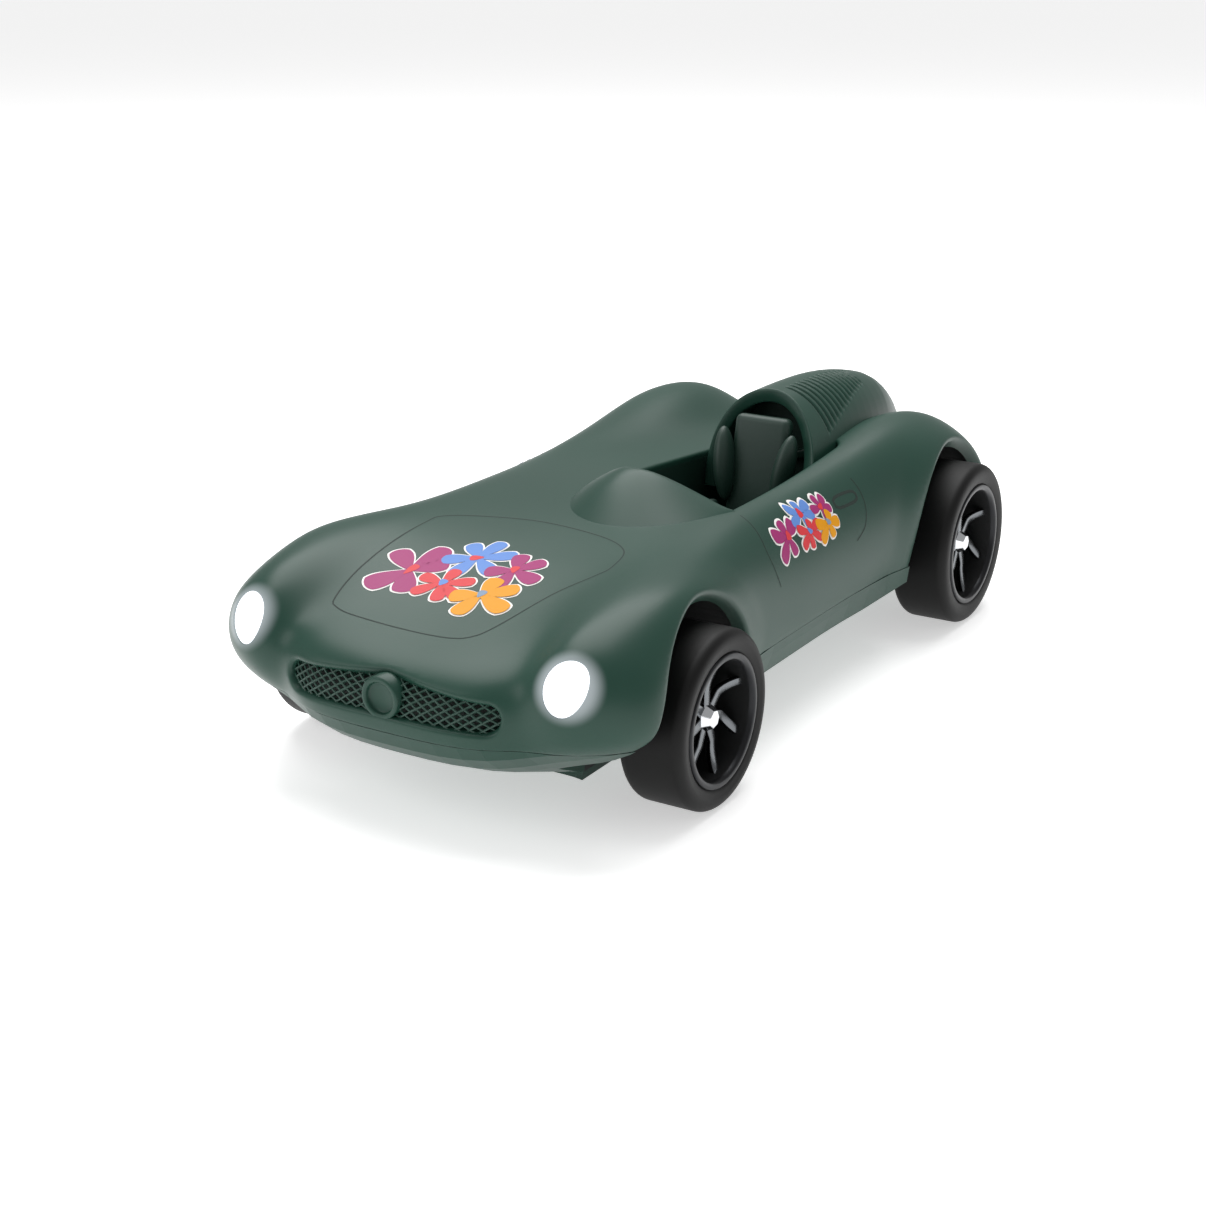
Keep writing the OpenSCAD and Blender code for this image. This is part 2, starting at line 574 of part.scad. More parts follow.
// Seen along X, a tooth of the axle gear points at the idler, which meets it with a gap
module axle_gear() {
    color("#e8e4da") translate([gear_x - gear_w / 2, rear_y, rear_z]) difference() {
        spur(axle_teeth, gear_w, axle_d / 2);
        for (a = [0 : 60 : 300]) rotate([a, 0, 0]) translate([-1, 0, axle_pitch_r * 0.58]) rotate([0, 90, 0]) cylinder(r = 1.8, h = gear_w + 2, $fn = 32);
    }
}
idler_bore = 1.5;
module idler_gear() {
    color("#e8e4da") translate([gear_x - gear_w / 2, idler_y, rear_z]) {
        spur(idler_small_teeth, gear_w + 0.4, idler_bore + run_gap, 180 + 180 / idler_small_teeth);
        translate([gear_w + 0.4, 0, 0]) spur(idler_large_teeth, gear_w, idler_bore + run_gap, 0);
    }
}
module idler_shaft() {
    color(metal) translate([0, idler_y, rear_z]) along_x(box_x0 + 0.2, box_x1 - 0.2, idler_bore);
}
motor_face = box_x1;
shaft_r = 1;
module motor_pinion() {
    color(metal) translate([0, motor_y, rear_z]) {
        translate([gear_x - gear_w / 2 + gear_w + 0.4, 0, 0]) spur(pinion_teeth, gear_w, shaft_r - 0.01, 180 + 180 / pinion_teeth);
        along_x(gear_x + 1, motor_face + 4, shaft_r);
    }
}
module motor_can() {
    color(metal) translate([0, motor_y, rear_z]) difference() {
        intersection() {
            along_x(motor_face, motor_face + motor_len, motor_r, 96);
            translate([motor_face - 1, -motor_r, -7.5]) cube([motor_len + 2, 2 * motor_r, 15]);
        }
        along_x(motor_face - 1, motor_face + motor_len + 1, shaft_r + run_gap);
        along_x(motor_face + 1, motor_face + motor_len + 1, 6);
    }
}
module motor_end_cap() {
    color("white") translate([0, motor_y, rear_z]) {
        intersection() {
            along_x(motor_face + motor_len, motor_face + motor_len + 3, motor_r, 96);
            translate([motor_face, -motor_r, -7.5]) cube([motor_len + 9, 2 * motor_r, 15]);
        }
        along_x(motor_face + motor_len + 3, motor_face + motor_len + 4.5, 3);
    }
}
box_y0 = rear_y - axle_pitch_r - 4;
box_y1 = motor_y + 6;
box_half_z = axle_pitch_r + 3.3;
bush_r = axle_d / 2 + 1.5;
module box_bores() {
    translate([0, rear_y, rear_z]) along_x(box_x0 - 5, box_x1 + 5, bush_r);
    translate([0, idler_y, rear_z]) along_x(box_x0 - 5, box_x1 + 5, idler_bore);
    translate([0, motor_y, rear_z]) along_x(gear_x + gear_w + 2, box_x1 + 5, 3);
}
gearbox_screw_places = [[box_y0 + 3, 10.5], [box_y1 - 3, 10.5], [box_y1 - 3, -10.5]];
module at_gearbox_screws() { for (p = gearbox_screw_places) translate([0, p.x, rear_z + p.y]) children(); }
module gearbox_case() {
    depth = box_x1 - box_x0 - box_wall;
    color("#262626") difference() {
        union() {
            difference() {
                translate([box_x0, box_y0, rear_z - box_half_z]) cube([depth, box_y1 - box_y0, 2 * box_half_z]);
                translate([box_x0 + box_wall, box_y0 + box_wall, rear_z - box_half_z + box_wall])
                    cube([40, box_y1 - box_y0 - 2 * box_wall, 2 * (box_half_z - box_wall)]);
            }
            for (y = [box_y0, box_y1 - 8])
                translate([box_x0, y, floor_top]) cube([depth, 8, rear_z - box_half_z - floor_top + 1]);
            at_gearbox_screws() along_x(box_x0 + 1, box_x0 + depth, 2.4, 48);
        }
        box_bores();
        at_gearbox_screws() along_x(box_x0 + depth - 7, box_x0 + depth + 1, 1.05, 48);
    }
}
module gearbox_cover() {
    color("#262626") difference() {
        translate([box_x1 - box_wall, box_y0, rear_z - box_half_z]) cube([box_wall, box_y1 - box_y0, 2 * box_half_z]);
        box_bores();
        at_gearbox_screws() along_x(box_x1 - 5, box_x1 + 1, 1.1, 48);
    }
}
module gearbox_screws() {
    color(metal) at_gearbox_screws() {
        along_x(box_x1 - box_wall - 7, box_x1 + 0.01, 1.05, 48);
        along_x(box_x1 + 0.01, box_x1 + 1.2, 2, 48);
    }
}
module rear_axle_bushes() {
    color("#b08d57") translate([0, rear_y, rear_z]) for (x = [box_x0, box_x1 - box_wall]) difference() {
        along_x(x, x + box_wall, bush_r);
        along_x(x - 1, x + box_wall + 1, axle_d / 2 + run_gap);
    }
}
axle_end = tyre_out - hub_depth + 1.8;
module rear_axle() {
    color(metal) translate([0, rear_y, rear_z]) along_x(-axle_end, axle_end, axle_d / 2);
}

// ---- Front end ----
servo_top = arm_z - 3;
module steering_servo() {
    color("#202020") difference() {
        translate([-10, horn_y - 8, floor_top]) cube([20, 24, servo_top - floor_top]);
        translate([0, horn_y, servo_top - 6]) cylinder(r = 2 + run_gap, h = 10, $fn = 48);
    }
}
module servo_horn() {
    color("white") translate([0, horn_y, 0]) {
        translate([0, 0, servo_top - 5]) cylinder(r = 2, h = 5 + 0.3, $fn = 48);
        hull() {
            translate([0, 0, servo_top + 0.3]) cylinder(r = 3.5, h = 2.2, $fn = 48);
            translate([0, -horn_r, servo_top + 0.3]) cylinder(r = 2, h = 2.2, $fn = 48);
        }
        translate([0, -horn_r, servo_top + 1]) cylinder(r = pin_r, h = rack_z + 2.8 - servo_top - 1, $fn = 48);
    }
}
rack_t = 2.4;
module rack_slot(x, half) {
    hull() for (s = [-1, 1]) translate([x, rack_y + s * half, rack_z - 1]) cylinder(r = pin_r + pin_play, h = rack_t + 2, $fn = 24);
}
rack_end_x = kingpin_x + steer_arm.x;
module steering_rack() {
    color("#2c2c2c") difference() {
        union() {
            translate([-rack_end_x, rack_y - 2.5, rack_z]) cube([2 * rack_end_x, 5, rack_t]);
            for (x = [-rack_end_x, 0, rack_end_x])
                hull() for (s = [-1, 1]) translate([x, rack_y + s * 2.2, rack_z]) cylinder(r = 3.2, h = rack_t, $fn = 24);
        }
        rack_slot(-rack_end_x, 2.2);
        rack_slot(rack_end_x, 2.2);
        rack_slot(0, 1.2);
    }
}
eye_r = 3.6;
module front_crossmember() {
    color("#262626") difference() {
        union() {
            translate([-12, front_y - 8, floor_top]) cube([24, 16, 4]);
            translate([-12, front_y - 6, floor_top]) cube([24, 12, front_z + knuckle_half + eye_t - floor_top]);
            for (z = [front_z - knuckle_half - eye_t, front_z + knuckle_half])
                both_sides() translate([10, front_y - 3, z]) cube([kingpin_x - 10, 6, eye_t]);
            for (z = [front_z - knuckle_half - eye_t, front_z + knuckle_half])
                both_sides() translate([kingpin_x, front_y, z]) cylinder(r = eye_r, h = eye_t, $fn = 48);
        }
        both_sides() translate([kingpin_x, front_y, 0]) cylinder(d = kingpin_d, h = 80, $fn = 48);
        both_sides() translate([8, front_y, floor_top - 1]) cylinder(r = 1.1, h = 12, $fn = 48);
    }
}
module crossmember_screws() {
    color(metal) both_sides() translate([8, front_y, floor_top]) cylinder(r = 1.1, h = 10, $fn = 48);
}
module kingpins() {
    color(metal) both_sides() translate([kingpin_x, front_y, front_z - knuckle_half - eye_t]) {
        cylinder(d = kingpin_d, h = 2 * (knuckle_half + eye_t), $fn = 48);
        translate([0, 0, 2 * (knuckle_half + eye_t)]) cylinder(d = kingpin_d + 2, h = 1, $fn = 48);
    }
}
module steering_knuckle() {
    color("#303030") difference() {
        union() {
            translate([kingpin_x, front_y, front_z - knuckle_half + 0.2]) cylinder(r = 3.4, h = 2 * knuckle_half - 0.4, $fn = 48);
            translate([kingpin_x, front_y - 3, front_z - 3]) cube([5.5, 6, 6]);
            hull() {
                translate([kingpin_x, front_y, arm_z - 1]) cylinder(r = 3, h = 2.6, $fn = 32);
                translate([kingpin_x + steer_arm.x, front_y + steer_arm.y, arm_z - 1]) cylinder(r = 2.4, h = 2.6, $fn = 32);
            }
            translate([kingpin_x + steer_arm.x, front_y + steer_arm.y, arm_z]) cylinder(r = pin_r, h = rack_z + rack_t + 0.5 - arm_z, $fn = 48);
        }
        translate([kingpin_x, front_y, 0]) cylinder(r = kingpin_d / 2 + run_gap, h = 80, $fn = 48);
    }
    color(metal) translate([0, front_y, front_z]) along_x(kingpin_x + 5.5, axle_end, stub_d / 2);
}
module steering_knuckle_left() { steering_knuckle(); }
module steering_knuckle_right() { mirror([1, 0, 0]) steering_knuckle(); }

// ---- Wheels, drawn at the origin with the outer face at x = 0 ----
rim_t = 1.4;
module rim(rim_d, bore) {
    r = rim_d / 2;
    color("#3a3c3e") {
        rotate([0, -90, 0]) rotate_extrude($fn = 96) polygon([[r - rim_t - 1.2, 1], [r - rim_t - 0.4, 0.2], [r, 0.2],
            [r, 1.4], [r - rim_t, 2.4], [r - rim_t, tyre_width - 2.4], [r, tyre_width - 1.4], [r, tyre_width - 0.6],
            [r - rim_t - 1.2, tyre_width - 0.6], [r - 2 * rim_t, 12], [r - 2 * rim_t - 1, 3]]);
        difference() {
            union() {
                along_x(-tyre_width + 4.4, -hub_depth, 3.8);
                for (i = [0 : spokes - 1]) rotate([i * 360 / spokes, 0, 0]) rotate([90, 0, 90]) translate([0, 0, -hub_depth - 1.6])
                    linear_extrude(1.6) polygon([[-1.1, 2.5], [1.1, 2.5], [0.9, r * 0.46], [r * 0.17 + 0.9, r - 2.2], [r * 0.17 - 0.7, r - 2.2], [-0.9, r * 0.5]]);
            }
            along_x(-tyre_width - 1, 2, bore);
        }
    }
}
shoulder = 3;
module tyre(tyre_d, rim_d) {
    r = tyre_d / 2;
    b = rim_d / 2;
    w = tyre_width;
    color("#151515") rotate([0, -90, 0]) rotate_extrude($fn = 96) polygon(concat(
        [[b + 0.02, 0.9], [b + 1, 0.2], [r - 5, 0]],
        [for (a = [-75 : 15 : 0]) [r - shoulder + shoulder * cos(a), shoulder + shoulder * sin(a)]],
        [for (a = [0 : 15 : 75]) [r - shoulder + shoulder * cos(a), w - shoulder + shoulder * sin(a)]],
        [[r - 5, w], [b + 1, w - 0.2], [b + 0.02, w - 0.9]]));
}
module wheel_nut() {
    color(metal) translate([-hub_depth + 0.02, 0, 0]) rotate([0, 90, 0]) difference() {
        union() {
            cylinder(r1 = 3.6, r2 = 2.4, h = 2.6, $fn = 7);
            translate([0, 0, 0]) cylinder(r = 2.6, h = 2.8, $fn = 48);
        }
        translate([0, 0, -1]) cylinder(r = axle_d / 2, h = 3, $fn = 48);
    }
}
module at_wheel(y, z) { translate([tyre_out, y, z]) children(); }
module rim_front_left() { at_wheel(front_y, front_z) rim(front_rim_d, stub_d / 2 + run_gap); }
module rim_front_right() { mirror([1, 0, 0]) rim_front_left(); }
module rim_rear_left() { at_wheel(rear_y, rear_z) rim(rear_rim_d, axle_d / 2); }
module rim_rear_right() { mirror([1, 0, 0]) rim_rear_left(); }
module tyre_front_left() { at_wheel(front_y, front_z) tyre(front_tyre_d, front_rim_d); }
module tyre_front_right() { mirror([1, 0, 0]) tyre_front_left(); }
module tyre_rear_left() { at_wheel(rear_y, rear_z) tyre(rear_tyre_d, rear_rim_d); }
module tyre_rear_right() { mirror([1, 0, 0]) tyre_rear_left(); }
module wheel_nut_front_left() { at_wheel(front_y, front_z) wheel_nut(); }
module wheel_nut_front_right() { mirror([1, 0, 0]) wheel_nut_front_left(); }
module wheel_nut_rear_left() { at_wheel(rear_y, rear_z) wheel_nut(); }
module wheel_nut_rear_right() { mirror([1, 0, 0]) wheel_nut_rear_left(); }

// ---- Stickers: thin printed films that lie on the skin ----
film = 0.15;
module film_on_body() {
    as_mesh() intersection() {
        difference() { body_solid(film, floor_z); outer_body(); }
        children();
    }
}
// Blooms as [across, along, radius], from the front axle for the bonnet and from the middle of
// the wheelbase for the door
bonnet_blooms = [[-21, -14, 9], [-5, -7, 9], [8, -9, 7.5], [-9, -17, 7], [4, -19, 9]];
module bonnet_sticker() {
    color("#c45c94") film_on_body() translate([0, front_y, 40]) linear_extrude(60)
        for (b = bonnet_blooms) translate([b.x, b.y]) circle(r = b.z, $fn = 24);
}
door_blooms = [[-26, 52, 6], [-20, 56, 4.5], [-10, 56, 4], [-5, 50, 4.5], [-14, 50, 4]];
module door_sticker() {
    color("#c45c94") film_on_body() translate([body_width / 2 - 25, mid_y, 0]) rotate([90, 0, 90]) linear_extrude(40)
        for (b = door_blooms) translate([b.x, b.y * body_height / cage_height]) circle(r = b.z, $fn = 24);
}
module door_sticker_left() { door_sticker(); }
module door_sticker_right() { mirror([1, 0, 0]) door_sticker(); }

upper_body_shell();
lower_body_pan();
windscreen();
cockpit_tub();
seat();
grille();
nose_emblem();
headlight_lens_left();
headlight_lens_right();
headlight_led_left();
headlight_led_right();
headlight_reflector_left();
headlight_reflector_right();
wheel_well_front_left();
wheel_well_front_right();
wheel_well_rear_left();
wheel_well_rear_right();
battery_box();
battery_cells();
battery_contacts();
battery_door();
battery_door_screw();
circuit_board();
power_switch_case();
power_switch_knob();
body_screws();
gearbox_case();
gearbox_cover();
gearbox_screws();
rear_axle_bushes();
idler_shaft();
idler_gear();
motor_can();
motor_end_cap();
motor_pinion();
rear_axle();
axle_gear();
steering_servo();
servo_horn();
steering_rack();
front_crossmember();
crossmember_screws();
kingpins();
steering_knuckle_left();
steering_knuckle_right();
rim_front_left();
rim_front_right();
rim_rear_left();
rim_rear_right();
tyre_front_left();
tyre_front_right();
tyre_rear_left();
tyre_rear_right();
wheel_nut_front_left();
wheel_nut_front_right();
wheel_nut_rear_left();
wheel_nut_rear_right();
bonnet_sticker();
door_sticker_left();
door_sticker_right();
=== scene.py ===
import math

import bmesh
import bpy
import numpy as np
from mathutils import Matrix, Vector
from mathutils.bvhtree import BVHTree


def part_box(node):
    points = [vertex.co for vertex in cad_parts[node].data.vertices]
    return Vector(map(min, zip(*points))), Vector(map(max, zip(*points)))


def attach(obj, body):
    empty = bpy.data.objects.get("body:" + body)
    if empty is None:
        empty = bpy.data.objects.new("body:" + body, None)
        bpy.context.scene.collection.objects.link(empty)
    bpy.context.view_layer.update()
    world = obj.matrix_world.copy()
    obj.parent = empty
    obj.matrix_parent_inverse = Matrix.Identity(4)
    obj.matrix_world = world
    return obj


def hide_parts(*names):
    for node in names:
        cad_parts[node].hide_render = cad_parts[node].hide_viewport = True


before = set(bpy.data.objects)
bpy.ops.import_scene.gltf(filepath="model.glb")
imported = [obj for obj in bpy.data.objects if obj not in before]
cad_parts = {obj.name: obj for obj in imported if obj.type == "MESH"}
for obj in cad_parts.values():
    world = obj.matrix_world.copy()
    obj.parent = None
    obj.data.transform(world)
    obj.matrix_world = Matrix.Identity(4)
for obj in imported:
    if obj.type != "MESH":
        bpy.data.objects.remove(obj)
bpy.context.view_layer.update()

# ---- Camera ----
# It looks down on the driver's side of the nose from a little over half a metre, through a long
# lens, so that the near front wheel and the lamp beside it are the largest things in view.
azimuth = math.radians(31.434)
elevation = math.radians(19.134)
away = Vector((math.sin(azimuth) * math.cos(elevation), -math.cos(azimuth) * math.cos(elevation),
               math.sin(elevation)))
right = Vector((math.cos(azimuth), math.sin(azimuth), 0))
upward = away.cross(right)
camera = bpy.data.objects.new("camera", bpy.data.cameras.new("camera"))
camera.data.lens = 60.71
camera.data.sensor_width = 36
camera.data.clip_start = 0.01
camera.location = away * 0.6063 - right * 0.01843 + upward * 0.01736
camera.rotation_euler = Matrix((right, upward, away)).transposed().to_euler()
bpy.context.collection.objects.link(camera)
bpy.context.scene.camera = camera

# ---- Studio: floor, sky and lamps ----
# A white paper sweep under a large soft box overhead, a little behind the car, with a weak fill
# from the camera's left. Upper faces come out lighter than the flanks, and the shadow is soft.
bpy.context.scene.view_settings.view_transform = "Standard"


def linear(code):
    parts = [int(code[i:i + 2], 16) / 255 for i in (1, 3, 5)]
    return [c / 12.92 if c <= 0.04045 else ((c + 0.055) / 1.055) ** 2.4 for c in parts] + [1.0]


def add(tree, kind, inputs={}, **settings):
    """Adds a node. An input that is another node's socket is linked, and any other is set."""
    node = tree.nodes.new(kind)
    for name, value in settings.items():
        setattr(node, name, value)
    for name, value in inputs.items():
        if isinstance(value, bpy.types.NodeSocket):
            tree.links.new(value, node.inputs[name])
        else:
            node.inputs[name].default_value = value
    return node


def new_material(name, **surface):
    """A material with one Principled shader, whose own sockets hold the values given here."""
    material = bpy.data.materials.new(name)
    material.use_nodes = True
    shader = material.node_tree.nodes["Principled BSDF"]
    for socket, value in surface.items():
        shader.inputs[socket.replace("_", " ")].default_value = value
    return material, material.node_tree, shader


paper, tree, shader = new_material("white_paper", Base_Color=linear("#f6f6f6"), Roughness=0.85,
                                   Emission_Color=linear("#ffffff"), Emission_Strength=0.5)
where = add(tree, "ShaderNodeTexCoord").outputs["Object"]
fibres = add(tree, "ShaderNodeTexNoise", {"Vector": where, "Scale": 900, "Detail": 3})
tooth = add(tree, "ShaderNodeBump", {"Height": fibres.outputs["Fac"], "Strength": 0.05,
                                     "Distance": 0.0002})
tree.links.new(tooth.outputs["Normal"], shader.inputs["Normal"])
bm = bmesh.new()
bmesh.ops.create_grid(bm, x_segments=4, y_segments=4, size=60)
floor_mesh = bpy.data.meshes.new("floor")
bm.to_mesh(floor_mesh)
bm.free()
floor_mesh.materials.append(paper)
floor = bpy.data.objects.new("floor", floor_mesh)
bpy.context.collection.objects.link(floor)

world = bpy.data.worlds.new("studio")
bpy.context.scene.world = world
world.use_nodes = True
world.node_tree.nodes["Background"].inputs["Color"].default_value = (1, 1, 1, 1)
world.node_tree.nodes["Background"].inputs["Strength"].default_value = 0.42
for name, place, size, power in (
        ("soft_box", (-0.25, 0.35, 1.1), 1.1, 17), ("fill", (-0.7, -0.9, 0.7), 0.8, 4)):
    lamp = bpy.data.objects.new(name, bpy.data.lights.new(name, "AREA"))
    lamp.data.size = size
    lamp.data.energy = power
    lamp.location = place
    lamp.rotation_euler = Vector(place).to_track_quat("Z", "Y").to_euler()
    bpy.context.collection.objects.link(lamp)

# ---- Body mouldings: upper shell and lower pan ----
# Two thin injection mouldings in satin dark green ABS, screwed together along a joint low on the
# flanks. The skin is one smooth bicubic surface, and each opening has a small rounded lip.
front_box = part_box("tyre_front_left")
rear_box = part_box("tyre_rear_left")
front_axle = [(front_box[0][i] + front_box[1][i]) * 500 for i in range(3)]
rear_axle = [(rear_box[0][i] + rear_box[1][i]) * 500 for i in range(3)]
tyre_face = front_box[1][0] * 1000
overhang = 56
half_width = 61
joint_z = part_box("upper_body_shell")[0][2] * 1000
cage_axle = 82
# Half the control cage in millimetres. A row runs from the centre line out to the body's edge, and
# the rows follow each other from the keel under the nose, over the car, to the keel under the tail.
cage = np.array([
    [[0, -104, 9], [14, -104, 9], [27, -104, 9], [36, -104, 11], [42, -105, 13],
     [47, -106, 13], [51, -107, 16], [54, -107, 18], [55, -105, 17]],
    [[0, -124, 13], [14, -124, 13], [27, -123, 14.5], [36, -120, 18], [44, -119, 20.5],
     [51, -117, 23], [57, -113, 25], [59, -110, 25], [59, -106, 21]],
    [[0, -139, 21], [14, -139, 21], [27, -137, 22], [36, -131, 23], [45, -132, 26],
     [55, -129, 28.5], [61, -121, 30], [62, -113, 29], [61, -107, 25]],
    [[0, -143, 32], [14, -143, 32], [27, -141, 32], [36, -134, 33], [44, -138, 37],
     [55, -133, 38], [63, -123, 37], [63, -114, 34], [61, -107, 28]],
    [[0, -140, 41], [14, -140, 41], [26, -138.5, 41.5], [35, -131, 43], [43, -136, 48],
     [54, -131, 48], [62, -120, 45], [63, -112, 39], [61, -106, 30]],
    [[0, -128, 44.5], [13, -128, 45], [25, -126, 45.5], [34, -121, 47], [42, -125, 55],
     [53, -121, 54], [60, -113, 49], [62, -107, 42], [60, -103, 32]],
    [[0, -111, 48.5], [13, -111, 49], [25, -111, 50], [34, -110, 53], [43, -109, 58],
     [52, -108, 57], [59, -104, 52], [61, -101, 44], [59, -99, 33]],
    [[0, -94, 53.5], [13, -94, 54], [25, -94, 54.5], [34, -94, 56], [43, -94, 59.5],
     [52, -94, 59], [58, -93, 54.5], [60, -92, 44], [58, -92, 30]],
    [[0, -76, 57.5], [13, -76, 57.5], [25, -76, 58], [34, -76, 58.5], [42, -76, 59.5],
     [51, -76, 58], [57, -76, 53], [58, -76, 40], [56, -76, 24]],
    [[0, -56, 60], [13, -56, 60], [25, -56, 60], [34, -56, 59.5], [42, -56, 58.5],
     [49, -56, 55.5], [54, -56, 46], [55, -56, 31], [50, -56, 17.5]],
    [[0, -34, 61], [13, -34, 61], [25, -34, 61], [34, -34, 60.5], [41, -34, 59],
     [48, -34, 54], [53, -34, 43], [54.5, -34, 28], [50, -34, 17.5]],
    [[0, -10, 60], [13, -10, 60], [24, -10, 60.5], [33, -10, 60.5], [41, -10, 59],
     [47.5, -10, 54], [52.5, -10, 43], [54.5, -10, 28], [50, -10, 17.5]],
    [[0, 14, 58], [12, 14, 58], [23, 14, 59], [32, 14, 61], [40, 14, 61],
     [48, 14, 56], [53, 14, 45], [55, 14, 29], [50, 14, 17.5]],
    [[0, 38, 56], [11, 38, 56], [21, 38, 57.5], [30, 38, 62], [39, 38, 63.5],
     [48, 38, 60], [54, 38, 50], [57, 38, 35], [53, 38, 18]],
    [[0, 60, 54], [10, 60, 54], [20, 60, 57], [29, 60, 63], [38, 60, 66.5],
     [48, 60, 63.5], [56, 60, 55], [58, 60, 42], [56, 60, 24]],
    [[0, 80, 51], [10, 80, 51], [20, 80, 55], [29, 80, 62.5], [38, 80, 66.5],
     [48, 80, 63.5], [57, 80, 55], [59, 80, 43], [57, 80, 27]],
    [[0, 99, 48], [11, 99, 48], [21, 99, 51], [30, 99, 57.5], [39, 99, 61.5],
     [48, 98, 58.5], [56, 97, 52], [59, 96, 42], [57, 96, 29]],
    [[0, 117, 44], [12, 117, 44], [22, 116, 45], [31, 115, 49], [40, 114, 52],
     [48, 112, 49], [54, 108, 44], [58, 104, 37], [57, 102, 27]],
    [[0, 132, 39], [12, 132, 39], [23, 131, 39], [32, 129, 41], [40, 126, 42],
     [48, 121, 39.5], [54, 115, 36], [57, 109, 30], [57, 105, 23]],
    [[0, 141, 29], [12, 141, 29], [23, 139, 29], [32, 136, 30], [40, 132, 30],
     [47, 126, 29], [53, 119, 27], [57, 112, 24], [58, 106, 20]],
    [[0, 136, 17], [13, 136, 17], [24, 134, 17], [33, 130, 17], [41, 126, 17],
     [48, 120, 17], [53, 114, 17], [56, 109, 17], [57, 105, 16]],
    [[0, 118, 9], [14, 118, 9], [28, 116, 9], [36, 113, 9.5], [42, 109, 11],
     [47, 107, 13], [51, 106, 15], [54, 105, 16], [55, 104, 15]]
], float)


def beyond(points):
    """Adds one point past each end, so that the spline reaches the first and last points."""
    return np.concatenate([2 * points[:1] - points[1:2], points, 2 * points[-1:] - points[-2:-1]])


def spline_net(points):
    return np.swapaxes(beyond(np.swapaxes(beyond(np.array(points, float)), 0, 1)), 0, 1)


def spline_weights(t):
    return [(1 - t) ** 3 / 6, (3 * t ** 3 - 6 * t ** 2 + 4) / 6,
            (-3 * t ** 3 + 3 * t ** 2 + 3 * t + 1) / 6, t ** 3 / 6]


def on_net(net, u, v):
    """Points of the bicubic B-spline over a net, at row u and column v."""
    i = np.clip(np.floor(u).astype(int), 0, net.shape[0] - 4)
    j = np.clip(np.floor(v).astype(int), 0, net.shape[1] - 4)
    total = 0
    for a, row_weight in enumerate(spline_weights(u - i)):
        for b, column_weight in enumerate(spline_weights(v - j)):
            total = total + (row_weight * column_weight)[..., None] * net[i + a, j + b]
    return total


body_net = spline_net(np.concatenate([cage[:, :0:-1] * [-1, 1, 1], cage], axis=1))
body_rows, body_columns = len(cage) - 1, 2 * (cage.shape[1] - 1)
ends = on_net(body_net, *np.meshgrid(
    np.linspace(0, body_rows, 421), np.linspace(0, body_columns, 161), indexing="ij"))[..., 1]


def smooth(t):
    t = np.clip(t, 0, 1)
    return t * t * (3 - 2 * t)


# An arch is its centre's place along the car, its height and its radius. An axle is as high as its
# tyre's radius, so the gap is what stays open round the tyre.
arch_lead, front_arch_gap, rear_arch_gap = 2, 8, 7
front_arch = (front_axle[1] - arch_lead, front_axle[2], front_axle[2] + front_arch_gap)
rear_arch = (rear_axle[1] - arch_lead, rear_axle[2], rear_axle[2] + rear_arch_gap)
# The arch lips stand out by the flare, which dies away over the band round them, on the flanks only
flare, flare_band = 1.3, 13
flank_from, flank_blend = 0.68, 0.2


def skin(u, v):
    """Points of the body's skin in millimetres, with the arch lips swelling outwards."""
    p = on_net(body_net, u, v)
    y = p[..., 1]
    p[..., 1] = np.where(
        y < -cage_axle, front_axle[1] + (y + cage_axle) * overhang / (-cage_axle - ends.min()),
        np.where(y > cage_axle, rear_axle[1] + (y - cage_axle) * overhang / (ends.max() - cage_axle), y))
    swell = [1 - smooth((np.hypot(p[..., 1] - at_y, p[..., 2] - at_z) - r) / flare_band)
             for at_y, at_z, r in (front_arch, rear_arch)]
    side = smooth((np.abs(p[..., 0]) - half_width * flank_from) / (half_width * flank_blend))
    p[..., 0] += np.sign(p[..., 0]) * flare * side * np.maximum(*swell)
    return p


def skin_normal(u, v, step=0.01):
    across = skin(u, v + step) - skin(u, v - step)
    down = skin(u + step, v) - skin(u - step, v)
    n = np.cross(across, down)
    return n / np.linalg.norm(n, axis=-1, keepdims=True)


def outline_distance(a, b, corners, rounding):
    """Distance outside a polygon with rounded corners, negative inside it."""
    best = np.full(a.shape, 1e6)
    inside = np.zeros(a.shape, bool)
    for (a0, b0), (a1, b1) in zip(corners, corners[1:] + corners[:1]):
        run, rise = a1 - a0, b1 - b0
        t = np.clip(((a - a0) * run + (b - b0) * rise) / (run * run + rise * rise), 0, 1)
        best = np.minimum(best, np.hypot(a - a0 - t * run, b - b0 - t * rise))
        if rise:
            inside ^= ((b0 > b) != (b1 > b)) & (a < run * (b - b0) / rise + a0)
    return np.where(inside, -best, best) - rounding


# Each opening is cut from one part of the car only. Elsewhere its distance counts as far outside it.
far_outside, flank_x, nose_y, deck_z = 99, 35, -100, 40


def outside_arches(p):
    rings = [np.hypot(p[..., 1] - y, p[..., 2] - z) - r for y, z, r in (front_arch, rear_arch)]
    return np.where(np.abs(p[..., 0]) > flank_x, np.minimum(*rings), far_outside)


mouth_corners = [(-27.5, 34), (0, 36.6), (27.5, 34), (26, 34), (0, 34.6), (-26, 34)]
mouth_rounding = 4


def outside_mouth(p):
    near = outline_distance(p[..., 0], p[..., 2], mouth_corners, mouth_rounding)
    return np.where(p[..., 1] < nose_y, near, far_outside)


# An upright oval, a little wider above its middle than below it
lamp_x, lamp_z, lamp_half_w, lamp_half_h, lamp_taper = 47.2, 44, 5.2, 6.0, 0.12


